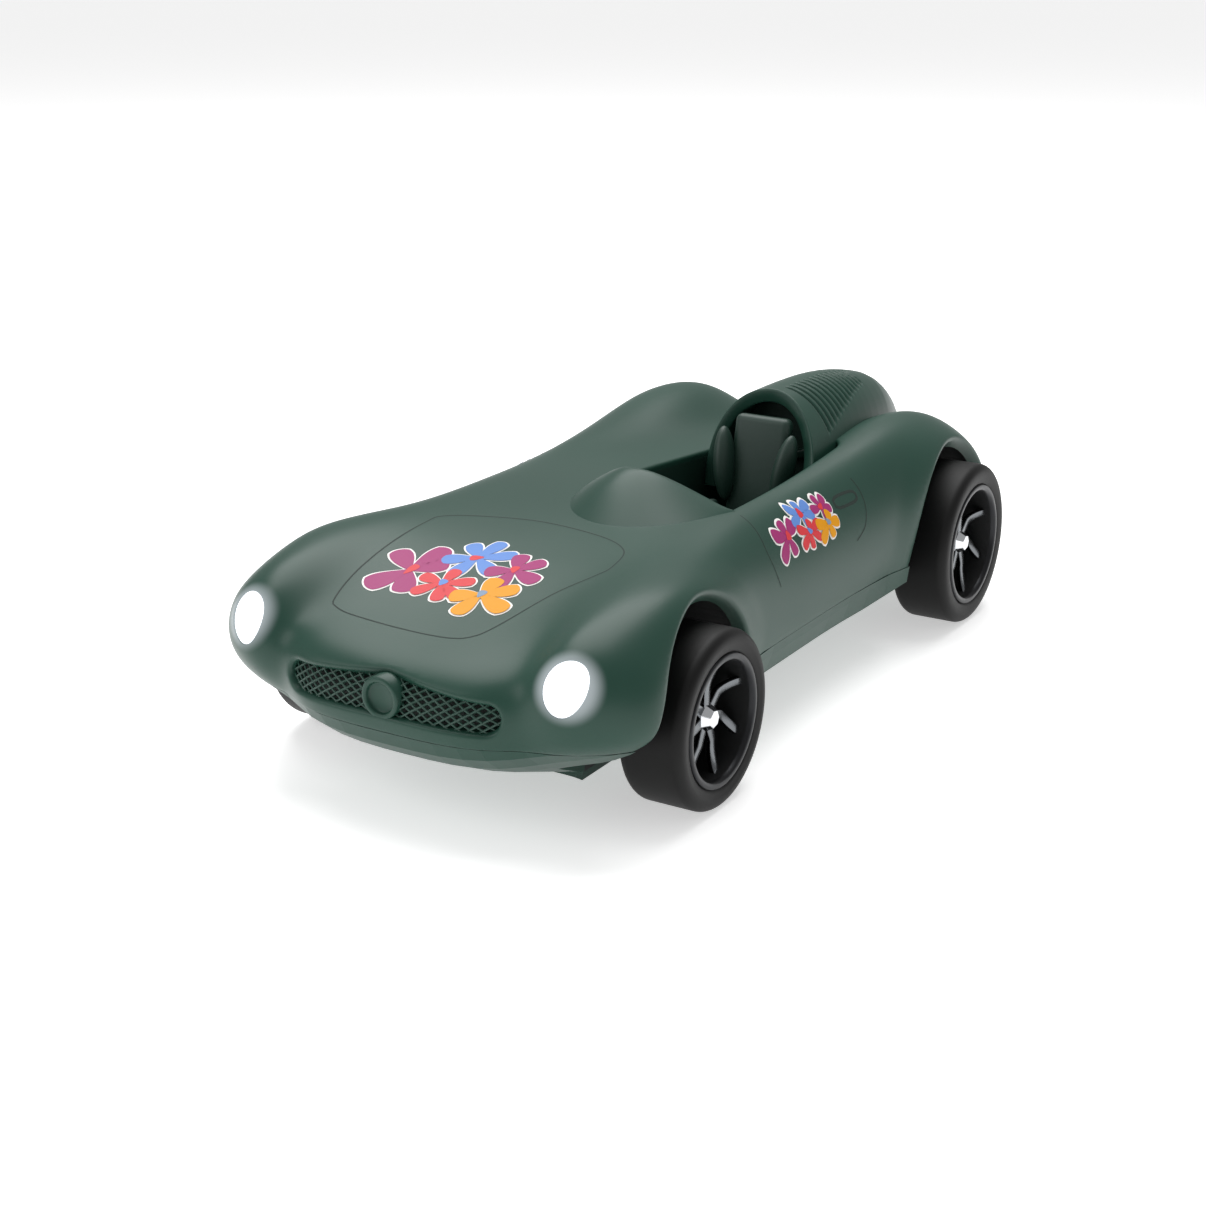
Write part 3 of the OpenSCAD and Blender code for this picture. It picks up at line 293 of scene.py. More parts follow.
def outside_lamps(p):
    up = (p[..., 2] - lamp_z) / lamp_half_h
    out = (np.abs(p[..., 0]) - lamp_x) / (lamp_half_w * (1 + lamp_taper * up))
    return np.where(p[..., 1] < nose_y, (np.hypot(out, up) - 1) * lamp_half_w, far_outside)


cockpit_corners = [(4, -28), (26, -28), (26, 36), (4, 36)]
cockpit_rounding = 10


def outside_cockpit(p):
    near = outline_distance(p[..., 0], p[..., 1], cockpit_corners, cockpit_rounding)
    return np.where(p[..., 2] > deck_z, near, far_outside)


def above_joint(p):
    return p[..., 2] - joint_z


def settle(bm, name, material, outward=None):
    """Makes a mesh object in metres from a bmesh in millimetres, turned over if outward(bm) is negative."""
    bmesh.ops.recalc_face_normals(bm, faces=bm.faces)
    if outward is not None and outward(bm) < 0:
        bmesh.ops.reverse_faces(bm, faces=bm.faces)
    bmesh.ops.scale(bm, vec=(0.001, 0.001, 0.001), verts=bm.verts)
    for face in bm.faces:
        face.smooth = True
    mesh = bpy.data.meshes.new(name)
    bm.to_mesh(mesh)
    bm.free()
    mesh.materials.append(material)
    piece = bpy.data.objects.new(name, mesh)
    bpy.context.collection.objects.link(piece)
    return piece


skin_steps = 12
snap_reach, snap_rounds, nudge = 1.3, 8, 1e-3


def skin_piece(name, material, cuts, rows=(0, body_rows), columns=(0, body_columns), lift=0.0):
    """A sheet of the skin, kept where every cut is positive. A cut is (distance, lip radius, lip depth)."""
    bm = bmesh.new()
    bmesh.ops.create_grid(bm, x_segments=round((columns[1] - columns[0]) * skin_steps),
                          y_segments=round((rows[1] - rows[0]) * skin_steps), size=1)
    flat = np.array([vert.co[:2] for vert in bm.verts])
    u = rows[0] + (flat[:, 1] + 1) / 2 * (rows[1] - rows[0])
    v = columns[0] + (flat[:, 0] + 1) / 2 * (columns[1] - columns[0])
    radius = np.array([c[1] for c in cuts])
    depth = np.array([c[2] for c in cuts])

    def levels(u, v):
        p = skin(u, v)
        return np.stack([c[0](p) - c[1] for c in cuts])

    level = levels(u, v).min(axis=0)
    bm.faces.ensure_lookup_table()
    gone = [f for f in bm.faces if level[[vert.index for vert in f.verts]].mean() < 0]
    seed = bm.verts.layers.int.new("seed")
    for vert in bm.verts:
        vert[seed] = vert.index
    bmesh.ops.delete(bm, geom=gone, context="FACES")
    # The cut edge is stepped like a stair, so its points slide along the skin to the opening's outline
    edge = [vert[seed] for vert in bm.verts if vert.is_boundary and level[vert[seed]] < snap_reach]
    edge = np.array(edge, int)
    e = nudge
    for _ in range(snap_rounds):
        at_u, at_v = u[edge], v[edge]
        here = levels(at_u, at_v).min(axis=0)
        grad_u = (levels(at_u + e, at_v).min(axis=0) - levels(at_u - e, at_v).min(axis=0)) / (2 * e)
        grad_v = (levels(at_u, at_v + e).min(axis=0) - levels(at_u, at_v - e).min(axis=0)) / (2 * e)
        size = grad_u ** 2 + grad_v ** 2 + 1e-6
        u[edge] = np.clip(at_u - np.clip(here * grad_u / size, -0.1, 0.1), *rows)
        v[edge] = np.clip(at_v - np.clip(here * grad_v / size, -0.1, 0.1), *columns)
    place = skin(u, v)
    normal = skin_normal(u, v)
    place = place + lift * normal
    for vert in bm.verts:
        vert.co = place[vert[seed]]
    # Each lip rolls over its radius and then runs straight into the moulding
    which = levels(u[edge], v[edge]).argmin(axis=0)
    p = skin(u[edge], v[edge])
    slope = np.zeros_like(p)
    for axis in range(3):
        shift = np.zeros(3)
        shift[axis] = 0.01
        ahead = np.stack([c[0](p + shift) for c in cuts])
        behind = np.stack([c[0](p - shift) for c in cuts])
        slope[:, axis] = (ahead - behind)[which, np.arange(len(edge))]
    n = normal[edge]
    inward = -(slope - (slope * n).sum(1, keepdims=True) * n)
    inward /= np.maximum(np.linalg.norm(inward, axis=1, keepdims=True), 1e-9)
    lip = {s: (place[s], n[k], inward[k], radius[which[k]], depth[which[k]])
           for k, s in enumerate(edge) if abs(levels(u[edge[k:k + 1]], v[edge[k:k + 1]]).min()) < 0.2}
    rim = [ed for ed in bm.edges if ed.is_boundary and all(vert[seed] in lip for vert in ed.verts)]
    for turn, sink in ((30, 0), (60, 0), (90, 0), (90, 0.5), (90, 1)):
        grown = bmesh.ops.extrude_edge_only(bm, edges=rim)["geom"]
        for vert in (g for g in grown if isinstance(g, bmesh.types.BMVert)):
            at, up, into, r, d = lip[vert[seed]]
            a = math.radians(turn)
            vert.co = at + into * r * math.sin(a) - up * (r * (1 - math.cos(a)) + sink * max(d - r, 0))
        rim = [g for g in grown if isinstance(g, bmesh.types.BMEdge) and g.is_boundary
               and all(vert[seed] in lip for vert in g.verts)]

    def outward(bm):
        bm.normal_update()
        return sum(f.normal.dot(Vector(normal[f.verts[0][seed]])) for f in list(bm.faces)[:2000])

    return settle(bm, name, material, outward)


def moulded(name, colour, roughness, grain=0.25, relief=0.00002, vary=0.05, **surface):
    """A fine grain in the surface, with slow changes of tone and gloss. grain is in millimetres."""
    material, tree, shader = new_material(name, Base_Color=linear(colour), Roughness=roughness, **surface)
    where = add(tree, "ShaderNodeTexCoord").outputs["Object"]
    clouds = add(tree, "ShaderNodeTexNoise", {"Vector": where, "Scale": 18, "Detail": 3}).outputs["Fac"]
    base = linear(colour)
    ramp = add(tree, "ShaderNodeValToRGB", {"Fac": clouds})
    ramp.color_ramp.elements[0].position = 0.3
    ramp.color_ramp.elements[1].position = 0.7
    ramp.color_ramp.elements[0].color = [c * (1 - vary) for c in base[:3]] + [1]
    ramp.color_ramp.elements[1].color = [min(1, c * (1 + vary)) for c in base[:3]] + [1]
    tree.links.new(ramp.outputs["Color"], shader.inputs["Base Color"])
    gloss = add(tree, "ShaderNodeMapRange", {
        "Value": clouds, "From Min": 0.3, "From Max": 0.7,
        "To Min": roughness - 0.03, "To Max": roughness + 0.03})
    tree.links.new(gloss.outputs["Result"], shader.inputs["Roughness"])
    peel = add(tree, "ShaderNodeTexNoise", {"Vector": where, "Scale": 1000 / (grain * 4), "Detail": 2})
    bump = add(tree, "ShaderNodeBump", {"Height": peel.outputs["Fac"], "Strength": 0.35, "Distance": relief})
    tree.links.new(bump.outputs["Normal"], shader.inputs["Normal"])
    return material


# Satin ABS, moulded in its colour: broad soft highlights over a very fine even grain
body_code = "#1f4035"
body_abs = moulded("satin_green_abs", body_code, 0.38, Specular_IOR_Level=0.3)
shell = skin_piece("body_shell", body_abs, [
    (above_joint, 0.4, 1.5), (outside_arches, 1.1, 4), (outside_mouth, 1.0, 4), (outside_lamps, 0.5, 1.5),
    (outside_cockpit, 1.0, 2.5)])
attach(shell, "car_body")
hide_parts("upper_body_shell")

# The lit lamps' light on the plastic round them is painted into the body material as a faint emitted glow,
# which fades out about four millimetres from the lens. Its reach is measured from the lamp's centre, in
# metres.
halo_from, halo_to, painted_glow_strength, lamp_y = 0.0055, 0.0095, 0.4, 0.1275
tree = body_abs.node_tree
where = add(tree, "ShaderNodeTexCoord").outputs["Object"]
mirrored = add(tree, "ShaderNodeVectorMath", {0: where}, operation="ABSOLUTE").outputs["Vector"]
lamp_centre = (lamp_x / 1000, lamp_y, lamp_z / 1000)
reach = add(tree, "ShaderNodeVectorMath", {0: mirrored, 1: lamp_centre},
            operation="DISTANCE").outputs["Value"]
nose = add(tree, "ShaderNodeSeparateXYZ", {0: where}).outputs["Y"]
ahead = add(tree, "ShaderNodeMath", {0: nose, 1: -0.1}, operation="LESS_THAN").outputs[0]
halo = add(tree, "ShaderNodeMapRange", {
    "Value": reach, "From Min": halo_from, "From Max": halo_to, "To Min": painted_glow_strength, "To Max": 0.0},
    interpolation_type="SMOOTHSTEP").outputs["Result"]
painted_glow = add(tree, "ShaderNodeMath", {0: halo, 1: ahead}, operation="MULTIPLY").outputs[0]
# The painted glow drives the body's emission, so the plastic round each lamp shines by itself
shader = tree.nodes["Principled BSDF"]
shader.inputs["Emission Color"].default_value = linear("#f3f6ff")
tree.links.new(painted_glow, shader.inputs["Emission Strength"])

# ---- Head fairing ----
# A raised rib moulded in one with the upper shell, from behind the driver's head to the tail. Its
# open front has a flat rolled lip, and a row of cooling slots runs down the driver's side.
fairing_x, fairing_base, fairing_front, fairing_tail = 15, 46, 37, 134
# The foot sinks under the skin towards the tail, and the open front leans further on the driver's side
foot_drop, foot_drop_from, foot_drop_over = 26, 0.6, 0.4
near_lean, far_lean, lean_power, crown_power = 16.5, 4, 1.6, 0.85
# Heights of the ridge and half widths, at even steps from the front to the tail
fairing_heights = [77.4, 77.4, 76.8, 74.3, 70, 60, 26]
fairing_widths = [20.5, 20.5, 19.5, 17.5, 14.5, 10, 3]
slot_pitch, slot_width, slot_depth, slot_count, first_slot_y = 3.05, 1.3, 0.9, 14, 41.5
# Insets and setbacks of the rings that roll the open front's lip inwards and then run it back inside
lip_rings = [(0, 0), (0.4, -0.25), (0.9, -0.3), (3.6, -0.3), (4.1, 0.2), (4.2, 10)]


def fairing_at(s, t):
    """s runs from the far foot at -1, over the ridge, to the near foot at 1. t runs backwards."""
    spans = np.linspace(0, 1, 7)
    ease = np.clip(t, 0, 1)
    base = fairing_base - foot_drop * smooth((ease - foot_drop_from) / foot_drop_over)
    height = np.interp(ease, spans, fairing_heights)
    width = np.interp(ease, spans, fairing_widths)
    for shift in (-0.06, 0.06):
        height = height + np.interp(np.clip(ease + shift, 0, 1), spans, fairing_heights)
        width = width + np.interp(np.clip(ease + shift, 0, 1), spans, fairing_widths)
    height, width = height / 3 - base, width / 3
    a = (1 - s) * math.pi / 2
    front = fairing_front - np.where(s > 0, near_lean, far_lean) * np.abs(s) ** lean_power
    y = front + t * (fairing_tail - front)
    return np.stack([fairing_x + width * np.cos(a), y,
                     base + height * np.maximum(np.sin(a), 0) ** crown_power], axis=-1)


bm = bmesh.new()
bmesh.ops.create_grid(bm, x_segments=110, y_segments=340, size=1)
flat = np.array([vert.co[:2] for vert in bm.verts])
s, t = flat[:, 0], (flat[:, 1] + 1) / 2
t = t * (0.35 + 0.65 * t)
place = fairing_at(s, t)
groove = np.zeros(len(s))
for k in range(slot_count):
    at_y = first_slot_y + slot_pitch * k
    across = smooth((slot_width / 2 + 0.15 - np.abs(place[:, 1] - at_y)) / 0.3)
    reach = 0.62 - 0.3 * k / slot_count
    groove = np.maximum(groove, across * smooth((s - 0.06) / 0.03) * smooth((reach - s) / 0.03))
across = fairing_at(s + nudge, t) - fairing_at(s - nudge, t)
along = fairing_at(s, t + nudge) - fairing_at(s, t - nudge)
n = np.cross(along, across)
n /= np.maximum(np.linalg.norm(n, axis=1, keepdims=True), 1e-9)
n *= np.sign(n[:, 2:] + 1e-6)
place = place - n * (slot_depth * groove)[:, None]
bm.verts.ensure_lookup_table()
for vert, p in zip(bm.verts, place):
    vert.co = p
lip = [ed for ed in bm.edges if ed.is_boundary and all(t[vert.index] < 1e-6 for vert in ed.verts)]
for (inset_before, back_before), (inset, back) in zip(lip_rings, lip_rings[1:]):
    grown = bmesh.ops.extrude_edge_only(bm, edges=lip)["geom"]
    lip = [g for g in grown if isinstance(g, bmesh.types.BMEdge) and g.is_boundary]
    for vert in {vert for ed in lip for vert in ed.verts}:
        out = Vector((vert.co.x - fairing_x, 0, vert.co.z - fairing_base))
        vert.co -= out.normalized() * (inset - inset_before)
        vert.co.y += back - back_before


def upward_side(bm):
    bm.normal_update()
    return sum(f.normal.z * f.calc_area() for f in bm.faces)


fairing = settle(bm, "head_fairing", body_abs, upward_side)
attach(fairing, "car_body")

# ---- A finer copy of the skin to lay things on ----
# Stickers, shut lines, mesh and glass all follow the moulding, so their points are dropped on it.
copy_steps = 8
bm = bmesh.new()
bmesh.ops.create_grid(bm, x_segments=body_columns * copy_steps, y_segments=body_rows * copy_steps, size=1)
flat = np.array([vert.co[:2] for vert in bm.verts])
for vert, p in zip(bm.verts, skin((flat[:, 1] + 1) / 2 * body_rows, (flat[:, 0] + 1) / 2 * body_columns)):
    vert.co = p
bm.normal_update()
whole_skin = BVHTree.FromBMesh(bm)
bm.free()


def drop(a, b, side):
    """The skin's point and outward normal. side is top for x and y, front for x and z, and left or
    right for y and z."""
    start = {"top": (a, b, 200), "left": (200, a, b), "right": (-200, a, b), "front": (a, -300, b)}[side]
    aim = {"top": (0, 0, -1), "left": (-1, 0, 0), "right": (1, 0, 0), "front": (0, 1, 0)}[side]
    point, normal, _, _ = whole_skin.ray_cast(Vector(start), Vector(aim))
    if point is None:
        return Vector(start), Vector(aim)
    if normal.dot(Vector(aim)) > 0:
        normal = -normal
    return point, normal


def rounded_path(points, closed, step=0.7):
    """A smooth path through the points, at even steps."""
    count = len(points)
    found = []
    for k in range(count if closed else count - 1):
        p = [Vector(points[(k + d) % count if closed else min(max(k + d, 0), count - 1)])
             for d in (-1, 0, 1, 2)]
        parts = max(2, int((p[2] - p[1]).length / step))
        for m in range(parts):
            w = m / parts
            found.append(0.5 * (
                2 * p[1] + (p[2] - p[0]) * w + (2 * p[0] - 5 * p[1] + 4 * p[2] - p[3]) * w ** 2
                + (3 * p[1] - p[0] - 3 * p[2] + p[3]) * w ** 3))
    return found if closed else found + [Vector(points[-1])]


# ---- Shut lines and door catches ----
# The bonnet and doors don't open, and narrow dark lines on the moulding show their outlines. Each
# door has the outline of a thumb recess near its rear edge.
line_width, catch_width, line_lift = 0.38, 0.9, 0.04


def ribbon(name, path, side, closed, width, material):
    found = [drop(p[0], p[1], side) for p in path]
    spans = len(found) if closed else len(found) - 1
    bm = bmesh.new()
    bmesh.ops.create_grid(bm, x_segments=spans, y_segments=2, size=1)
    for vert in bm.verts:
        k = round((vert.co.x + 1) / 2 * spans)
        point, normal = found[k % len(found)]
        ahead = found[(k + 1) % len(found) if closed else min(k + 1, len(found) - 1)][0]
        behind = found[(k - 1) % len(found) if closed else max(k - 1, 0)][0]
        sideways = normal.cross(ahead - behind).normalized()
        vert.co = point + sideways * (vert.co.y * width / 2) + normal * line_lift
    bmesh.ops.remove_doubles(bm, verts=bm.verts, dist=0.001)
    piece = settle(bm, name, material)
    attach(piece, "car_body")


# Matt and darker than the body, so that a line reads as a groove in shade
line_shade = moulded("shut_line_shadow", "#10241d", 0.7)
bonnet_line = [(-27, -118.4), (-15.3, -119.6), (0.5, -119.7), (9, -119.2), (13.4, -117.2), (16.6, -112.3),
               (23.1, -96.7), (29, -86.5), (30.6, -81), (28, -71), (17.7, -64.9), (-1.8, -62.3),
               (-18.1, -65.2), (-28.7, -70), (-30.6, -76), (-31.3, -93.2), (-30.2, -114)]
ribbon("bonnet_line", rounded_path(bonnet_line, True), "top", True, line_width, line_shade)
door_front = [(-29.5, 59), (-31.3, 55), (-32.4, 51), (-31.6, 46), (-30.5, 41.4)]
door_rear = [(24.4, 57.5), (24.9, 53.5), (24.3, 49), (21.6, 44.7), (16.2, 42)]
catch = [(10.5, 53.6), (12, 54.9), (20.5, 54.9), (22.2, 53.5), (20.5, 52.2), (12, 52.2)]
for side in ("left", "right"):
    ribbon("door_front_line_" + side, rounded_path(door_front, False), side, False, line_width, line_shade)
    ribbon("door_rear_line_" + side, rounded_path(door_rear, False), side, False, line_width, line_shade)
    ribbon("door_catch_" + side, rounded_path(catch, True), side, True, catch_width, line_shade)

# ---- Flower stickers ----
# Die-cut vinyl in flat bright inks on a white film that shows as a thin border round each flower.
# The inks lie a tenth of a millimetre over the film, and each flower a little over the one before.
film_border, film_lift, ink_lift, eye_lift, flower_step = 0.45, 0.06, 0.16, 0.2, 0.03
inks = {"white": "#f4f1ee", "magenta": "#9c2f6c", "coral": "#d03a40", "blue": "#6088cc",
        "yellow": "#dc9400", "slate": "#7d92ab"}
# Smooth vinyl: flat even colour, with hardly any grain
films = {name: moulded(name + "_gloss_vinyl", code, 0.4, vary=0.02, relief=0.000005,
                       Specular_IOR_Level=0.2) for name, code in inks.items()}
# Each flower is its centre, the tips of its petals, its ink and the ink of its eye
bonnet_flowers = [
    ((-19.3, -98.1), [(-16, -85.6), (-11.6, -91.6), (-27.6, -92), (-26, -108.6), (-15.6, -107)],
     "magenta", "coral"),
    ((-6.1, -86.9), [(-14.6, -91), (-11.6, -81), (-4, -77.4), (3.2, -82.2), (2, -92.2), (-8, -96.2)],
     "blue", "coral"),
    ((6.7, -89.1), [(4.3, -81.5), (12.6, -83.2), (15.8, -92.6), (6.5, -98), (-0.6, -92)],
     "magenta", "coral"),
    ((-8, -99.9), [(-7.4, -93.4), (0, -96.6), (0.2, -104.4), (-5, -107), (-13.4, -106.2), (-15.2, -99)],
     "coral", "blue"),
    ((4.7, -101.2), [(5.1, -93.6), (13.4, -96.6), (15.2, -106), (3, -110.4), (-3, -104)],
     "yellow", "slate")]
door_flowers = [
    ((-18.7, 51.6), [(-13, 54.2), (-19.4, 55.6), (-26, 53.4), (-25.8, 46.6), (-17.6, 46.6)],
     "magenta", "coral"),
    ((-7.1, 54.8), [(-12, 57), (-6.5, 57.6), (-1.2, 56.4), (-1.2, 53.2), (-6.3, 51.4), (-13.5, 53.2)],
     "blue", "coral"),
    ((3.4, 54.2), [(2.6, 57.2), (7, 56.4), (8, 53), (3.8, 51), (-1.6, 54.4)],
     "magenta", "coral"),
    ((-7.1, 50.2), [(-5.6, 53), (-0.6, 51.6), (-2.2, 47.4), (-8, 45.8), (-13, 47), (-13, 52)],
     "coral", "blue"),
    ((3.4, 50.2), [(5.4, 53), (9, 49.4), (4.4, 46), (-2.6, 46), (-3, 50.8)],
     "yellow", "slate")]


def petal(bm, side, centre, tip, grow, lift, spread):
    """A square patch with its ends rounded, narrow at the flower's centre and widest near the tip."""
    start, end = Vector(centre), Vector(tip)
    along = (end - start).normalized()
    out = Vector((-along.y, along.x))
    length = (end - start).length / 2 + grow
    half = spread * 1.12 + grow * 1.3
    middle = (start + end) / 2
    made = bmesh.ops.create_grid(bm, x_segments=10, y_segments=10, size=1)["verts"]
    for vert in made:
        a, b = vert.co.x, vert.co.y
        x, y = a * (1 - 0.2 * b * b), b * (1 - 0.32 * a * a)
        where = middle + along * (x * length) + out * (y * half * (0.72 + 0.42 * x))
        point, normal = drop(where[0], where[1], side)
        vert.co = point + normal * lift


def stickers(node, side, flowers):
    for order, (centre, tips, ink, eye) in enumerate(flowers):
        step = flower_step * order
        spread = sum((Vector(tip) - Vector(centre)).length for tip in tips) / len(tips)
        spread *= math.sin(math.pi / len(tips)) * 0.52
        for colour, grow, lift in (("white", film_border, film_lift), (ink, 0, ink_lift + step)):
            bm = bmesh.new()
            for tip in tips:
                petal(bm, side, centre, tip, grow, lift, spread)
            piece = settle(bm, f"{node}_{order}_{colour}", films[colour])
            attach(piece, "car_body")
            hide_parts(node)
        bm = bmesh.new()
        turn = Vector(tips[0]) - Vector(centre)
        petal(bm, side, Vector(centre) - turn * 0.16, Vector(centre) + turn * 0.2, 0.2, eye_lift + step,
              1.1)
        piece = settle(bm, f"{node}_{order}_eye", films[eye])
        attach(piece, "car_body")
        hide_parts(node)


stickers("bonnet_sticker", "top", bonnet_flowers)
stickers("door_sticker_left", "left", door_flowers)
stickers("door_sticker_right", "right", door_flowers)

# ---- Grille and nose badge ----
# A lozenge mesh moulded in the body plastic sits just under two millimetres inside the mouth, and
# follows its curve. A blank ring in the body colour fills its middle, round a dished disc.
grille_z, grille_rounding, badge_z, badge_hole = 34, 6, 35, 4.4
mesh_sink, backing_sink, bar_width = 1.8, 3, 0.7
spread_x, spread_z = 1.15, 0.8
backing_half_w, backing_half_h = 34, 7.5
# Moulded green bars, a little duller than the body, over a near-black backing that is painted shade inside
# the mouth
mesh_green = moulded("grille_satin_green", body_code, 0.45)
grille_painted_shade = moulded("grille_backing_painted_shade", "#0c1814", 0.7)
bm = bmesh.new()
bmesh.ops.create_grid(bm, x_segments=40, y_segments=40, size=40)
bmesh.ops.rotate(bm, matrix=Matrix.Rotation(math.radians(45), 3, "Z"), verts=bm.verts)
flat = np.array([vert.co[:2] for vert in bm.verts])
near = outline_distance(flat[:, 0] * spread_x, flat[:, 1] * spread_z + grille_z, mouth_corners,
                        grille_rounding)
near[np.hypot(flat[:, 0] * spread_x, flat[:, 1] * spread_z - (badge_z - grille_z)) < badge_hole] = 1
bmesh.ops.delete(bm, geom=[v for v in bm.verts if near[v.index] > 0], context="VERTS")
for vert in bm.verts:
    point, normal = drop(vert.co.x * spread_x, vert.co.y * spread_z + grille_z, "front")
    vert.co = point - normal * mesh_sink
bm.normal_update()
bmesh.ops.wireframe(bm, faces=bm.faces, thickness=bar_width, use_replace=True, use_boundary=True,
                    use_even_offset=True)
grille = settle(bm, "grille_mesh", mesh_green)
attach(grille, "car_body")
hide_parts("grille")
bm = bmesh.new()
bmesh.ops.create_grid(bm, x_segments=96, y_segments=24, size=1)
flat = np.array([vert.co[:2] for vert in bm.verts]) * (backing_half_w, backing_half_h) + (0, grille_z)
near = outline_distance(flat[:, 0], flat[:, 1], mouth_corners, grille_rounding)
bmesh.ops.delete(bm, geom=[v for v in bm.verts if near[v.index] > 0], context="VERTS")
for vert in bm.verts:
    point, normal = drop(vert.co.x * backing_half_w, grille_z + vert.co.y * backing_half_h, "front")
    vert.co = point - normal * backing_sink
backing = settle(bm, "grille_backing", grille_painted_shade)
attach(backing, "car_body")
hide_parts("grille")

# The badge's half section: each point is a radius, and a depth behind the badge's front
badge_front_y = -137.6
profile = [(0, 1.5), (3.6, 1.3), (4.0, 1.0), (4.0, 0.3), (4.3, 0), (5.1, 0), (5.4, 0.3), (5.4, 5)]
bm = bmesh.new()
chain = [bm.verts.new((r, badge_front_y + depth, 0)) for r, depth in profile]
ring_edges = [bm.edges.new(pair) for pair in zip(chain, chain[1:])]
bmesh.ops.spin(bm, geom=chain + ring_edges, axis=(0, 1, 0), cent=(0, 0, 0), steps=96, angle=math.tau,
               use_merge=True)
bmesh.ops.remove_doubles(bm, verts=bm.verts, dist=0.001)
bmesh.ops.translate(bm, vec=(0, 0, badge_z), verts=bm.verts)


def forward_side(bm):
    bm.normal_update()
    return -sum(f.normal.y * f.calc_area() for f in bm.faces)


badge = settle(bm, "nose_badge", body_abs, forward_side)
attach(badge, "car_body")
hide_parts("nose_emblem")

# ---- Headlight lenses ----
# Clear-white moulded lenses, set a little below the rim of each opening and lit from behind.
# Opal plastic with the lamp on reads as an even white glow.
glow = new_material("lit_opal_lens", Base_Color=linear("#f4f6ff"), Roughness=0.15,
                    Emission_Color=linear("#f3f6ff"), Emission_Strength=1.6)[0]
lens_rows = (0, 12)


def inside_lamps(p):
    return 1.0 - outside_lamps(p)


for side, columns in (("left", (body_columns / 2, body_columns)), ("right", (0, body_columns / 2))):
    lens = skin_piece("lens_" + side, glow, [(inside_lamps, 0.2, 0.8)], columns=columns, rows=lens_rows,
                      lift=-0.3)
    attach(lens, "car_body")
    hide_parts("headlight_lens_" + side)

# ---- Seat ----
# One moulded bucket, a shade darker than the body: a tall slab back with a leaf-shaped wing at each
# side, a thick cushion, and a bolster along each side of the cushion.
seat_x, bolster_out, wing_out, wing_turn = 15, 11.4, 9.8, 8
# Matt plastic with a coarse grain, so it takes hardly any highlight
seat_green = moulded("seat_matt_green", "#18332a", 0.5, grain=0.5, relief=0.00005)
bm = bmesh.new()
lean = Matrix.Rotation(math.radians(-12), 4, "X")
flat_down = Matrix.Identity(4)
for at, size, tilt in (
        ((seat_x, 29, 54), (18, 5, 33), lean),
        ((seat_x, 6, 38), (23, 36, 7), flat_down),
        ((seat_x - bolster_out, 6, 41), (3.4, 34, 9), flat_down),
        ((seat_x + bolster_out, 6, 41), (3.4, 34, 9), flat_down)):
    block = bmesh.ops.create_cube(
        bm, size=1, matrix=Matrix.Translation(at) @ tilt @ Matrix.Diagonal((*size, 1)))
    edges = {ed for v in block["verts"] for ed in v.link_edges}
    bmesh.ops.bevel(bm, geom=list(edges), offset=min(size) * 0.42, segments=5, profile=0.5,
                    affect="EDGES", material=-1)
for hand in (-1, 1):
    wing = (Matrix.Translation((seat_x + hand * wing_out, 25.5, 56)) @ lean
            @ Matrix.Rotation(math.radians(hand * wing_turn), 4, "Y") @ Matrix.Diagonal((3, 4.5, 11, 1)))
    bmesh.ops.create_uvsphere(bm, u_segments=24, v_segments=16, radius=1, matrix=wing)
seat = settle(bm, "seat_moulding", seat_green)
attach(seat, "car_body")
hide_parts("seat")

# ---- Windscreen ----
# A small opaque wrap-round screen in the body plastic, rising to a flat top in front of the driver.
# It is a piece of its own that sits on the shell, and its front edge starts just under the skin.
screen_sink = 0.4
screen_rows = [
    [(-8.5, -26), (-7.5, -42), (0.5, -55), (14, -59.5), (27, -55), (35, -43), (38, -28)],
    [(-6.5, -27, 61.5), (-4, -38, 64), (3.5, -46, 66), (12, -48.5, 67), (21, -46, 66),
     (30, -38, 63), (37, -28.5, 60)],
    [(-4.5, -28, 62.5), (1, -33.5, 67), (7.5, -38.5, 70.6), (12, -40, 70.8), (17, -38.5, 70.6),
     (26, -33.5, 66), (36, -29, 60)],
    [(-4, -27.5, 61), (1.6, -31.5, 66), (8, -35.5, 70.2), (12, -36.5, 70.5), (16, -35.5, 70.2),
     (25, -31.5, 65), (35, -28.6, 59.4)],
    [(-4, -27, 57), (1.6, -30.5, 57), (8, -34, 57), (12, -35, 57), (16, -34, 57),
     (25, -30.5, 57), (35, -28, 57)]]
screen_rows[0] = [(x, y, drop(x, y, "top")[0].z - screen_sink) for x, y in screen_rows[0]]
screen_net = spline_net(screen_rows)
bm = bmesh.new()
bmesh.ops.create_grid(bm, x_segments=72, y_segments=56, size=1)
flat = np.array([vert.co[:2] for vert in bm.verts])
last_row, last_column = 3.999, 5.999
place = on_net(screen_net, (flat[:, 1] + 1) / 2 * last_row, (flat[:, 0] + 1) / 2 * last_column)
for vert, p in zip(bm.verts, place):
    vert.co = p
screen = settle(bm, "windscreen_wrap", body_abs, upward_side)
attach(screen, "car_body")
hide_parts("windscreen")

# ---- Wheels ----
# Black rubber tyres stretched over moulded rims with seven bent spokes. The rim's outer lip is dark
# anodised, its barrel and back are black, and a polished seven-sided nut holds each wheel on.
# Rubber takes a broad dull sheen, the blacks stay matt, and only the cut spokes and nut shine.
tyre_rubber = moulded("tyre_matt_rubber", "#060606", 0.55, grain=0.6, relief=0.00004,
                      Specular_IOR_Level=0.25)
barrel_black = moulded("barrel_satin_black", "#0d0e0f", 0.5)
lip_metal = moulded("dark_anodised_lip", "#2a2b2d", 0.35, Metallic=0.8)
spoke_metal = moulded("bright_cut_spokes", "#6a6d70", 0.22, Metallic=1.0)
nut_metal = moulded("polished_nut", "#d6d8db", 0.12, Metallic=1.0)
spoke_count, spoke_turn, spoke_sink, spoke_rise, spoke_thick = 7, 0.17, 5.2, 3.0, 1.5
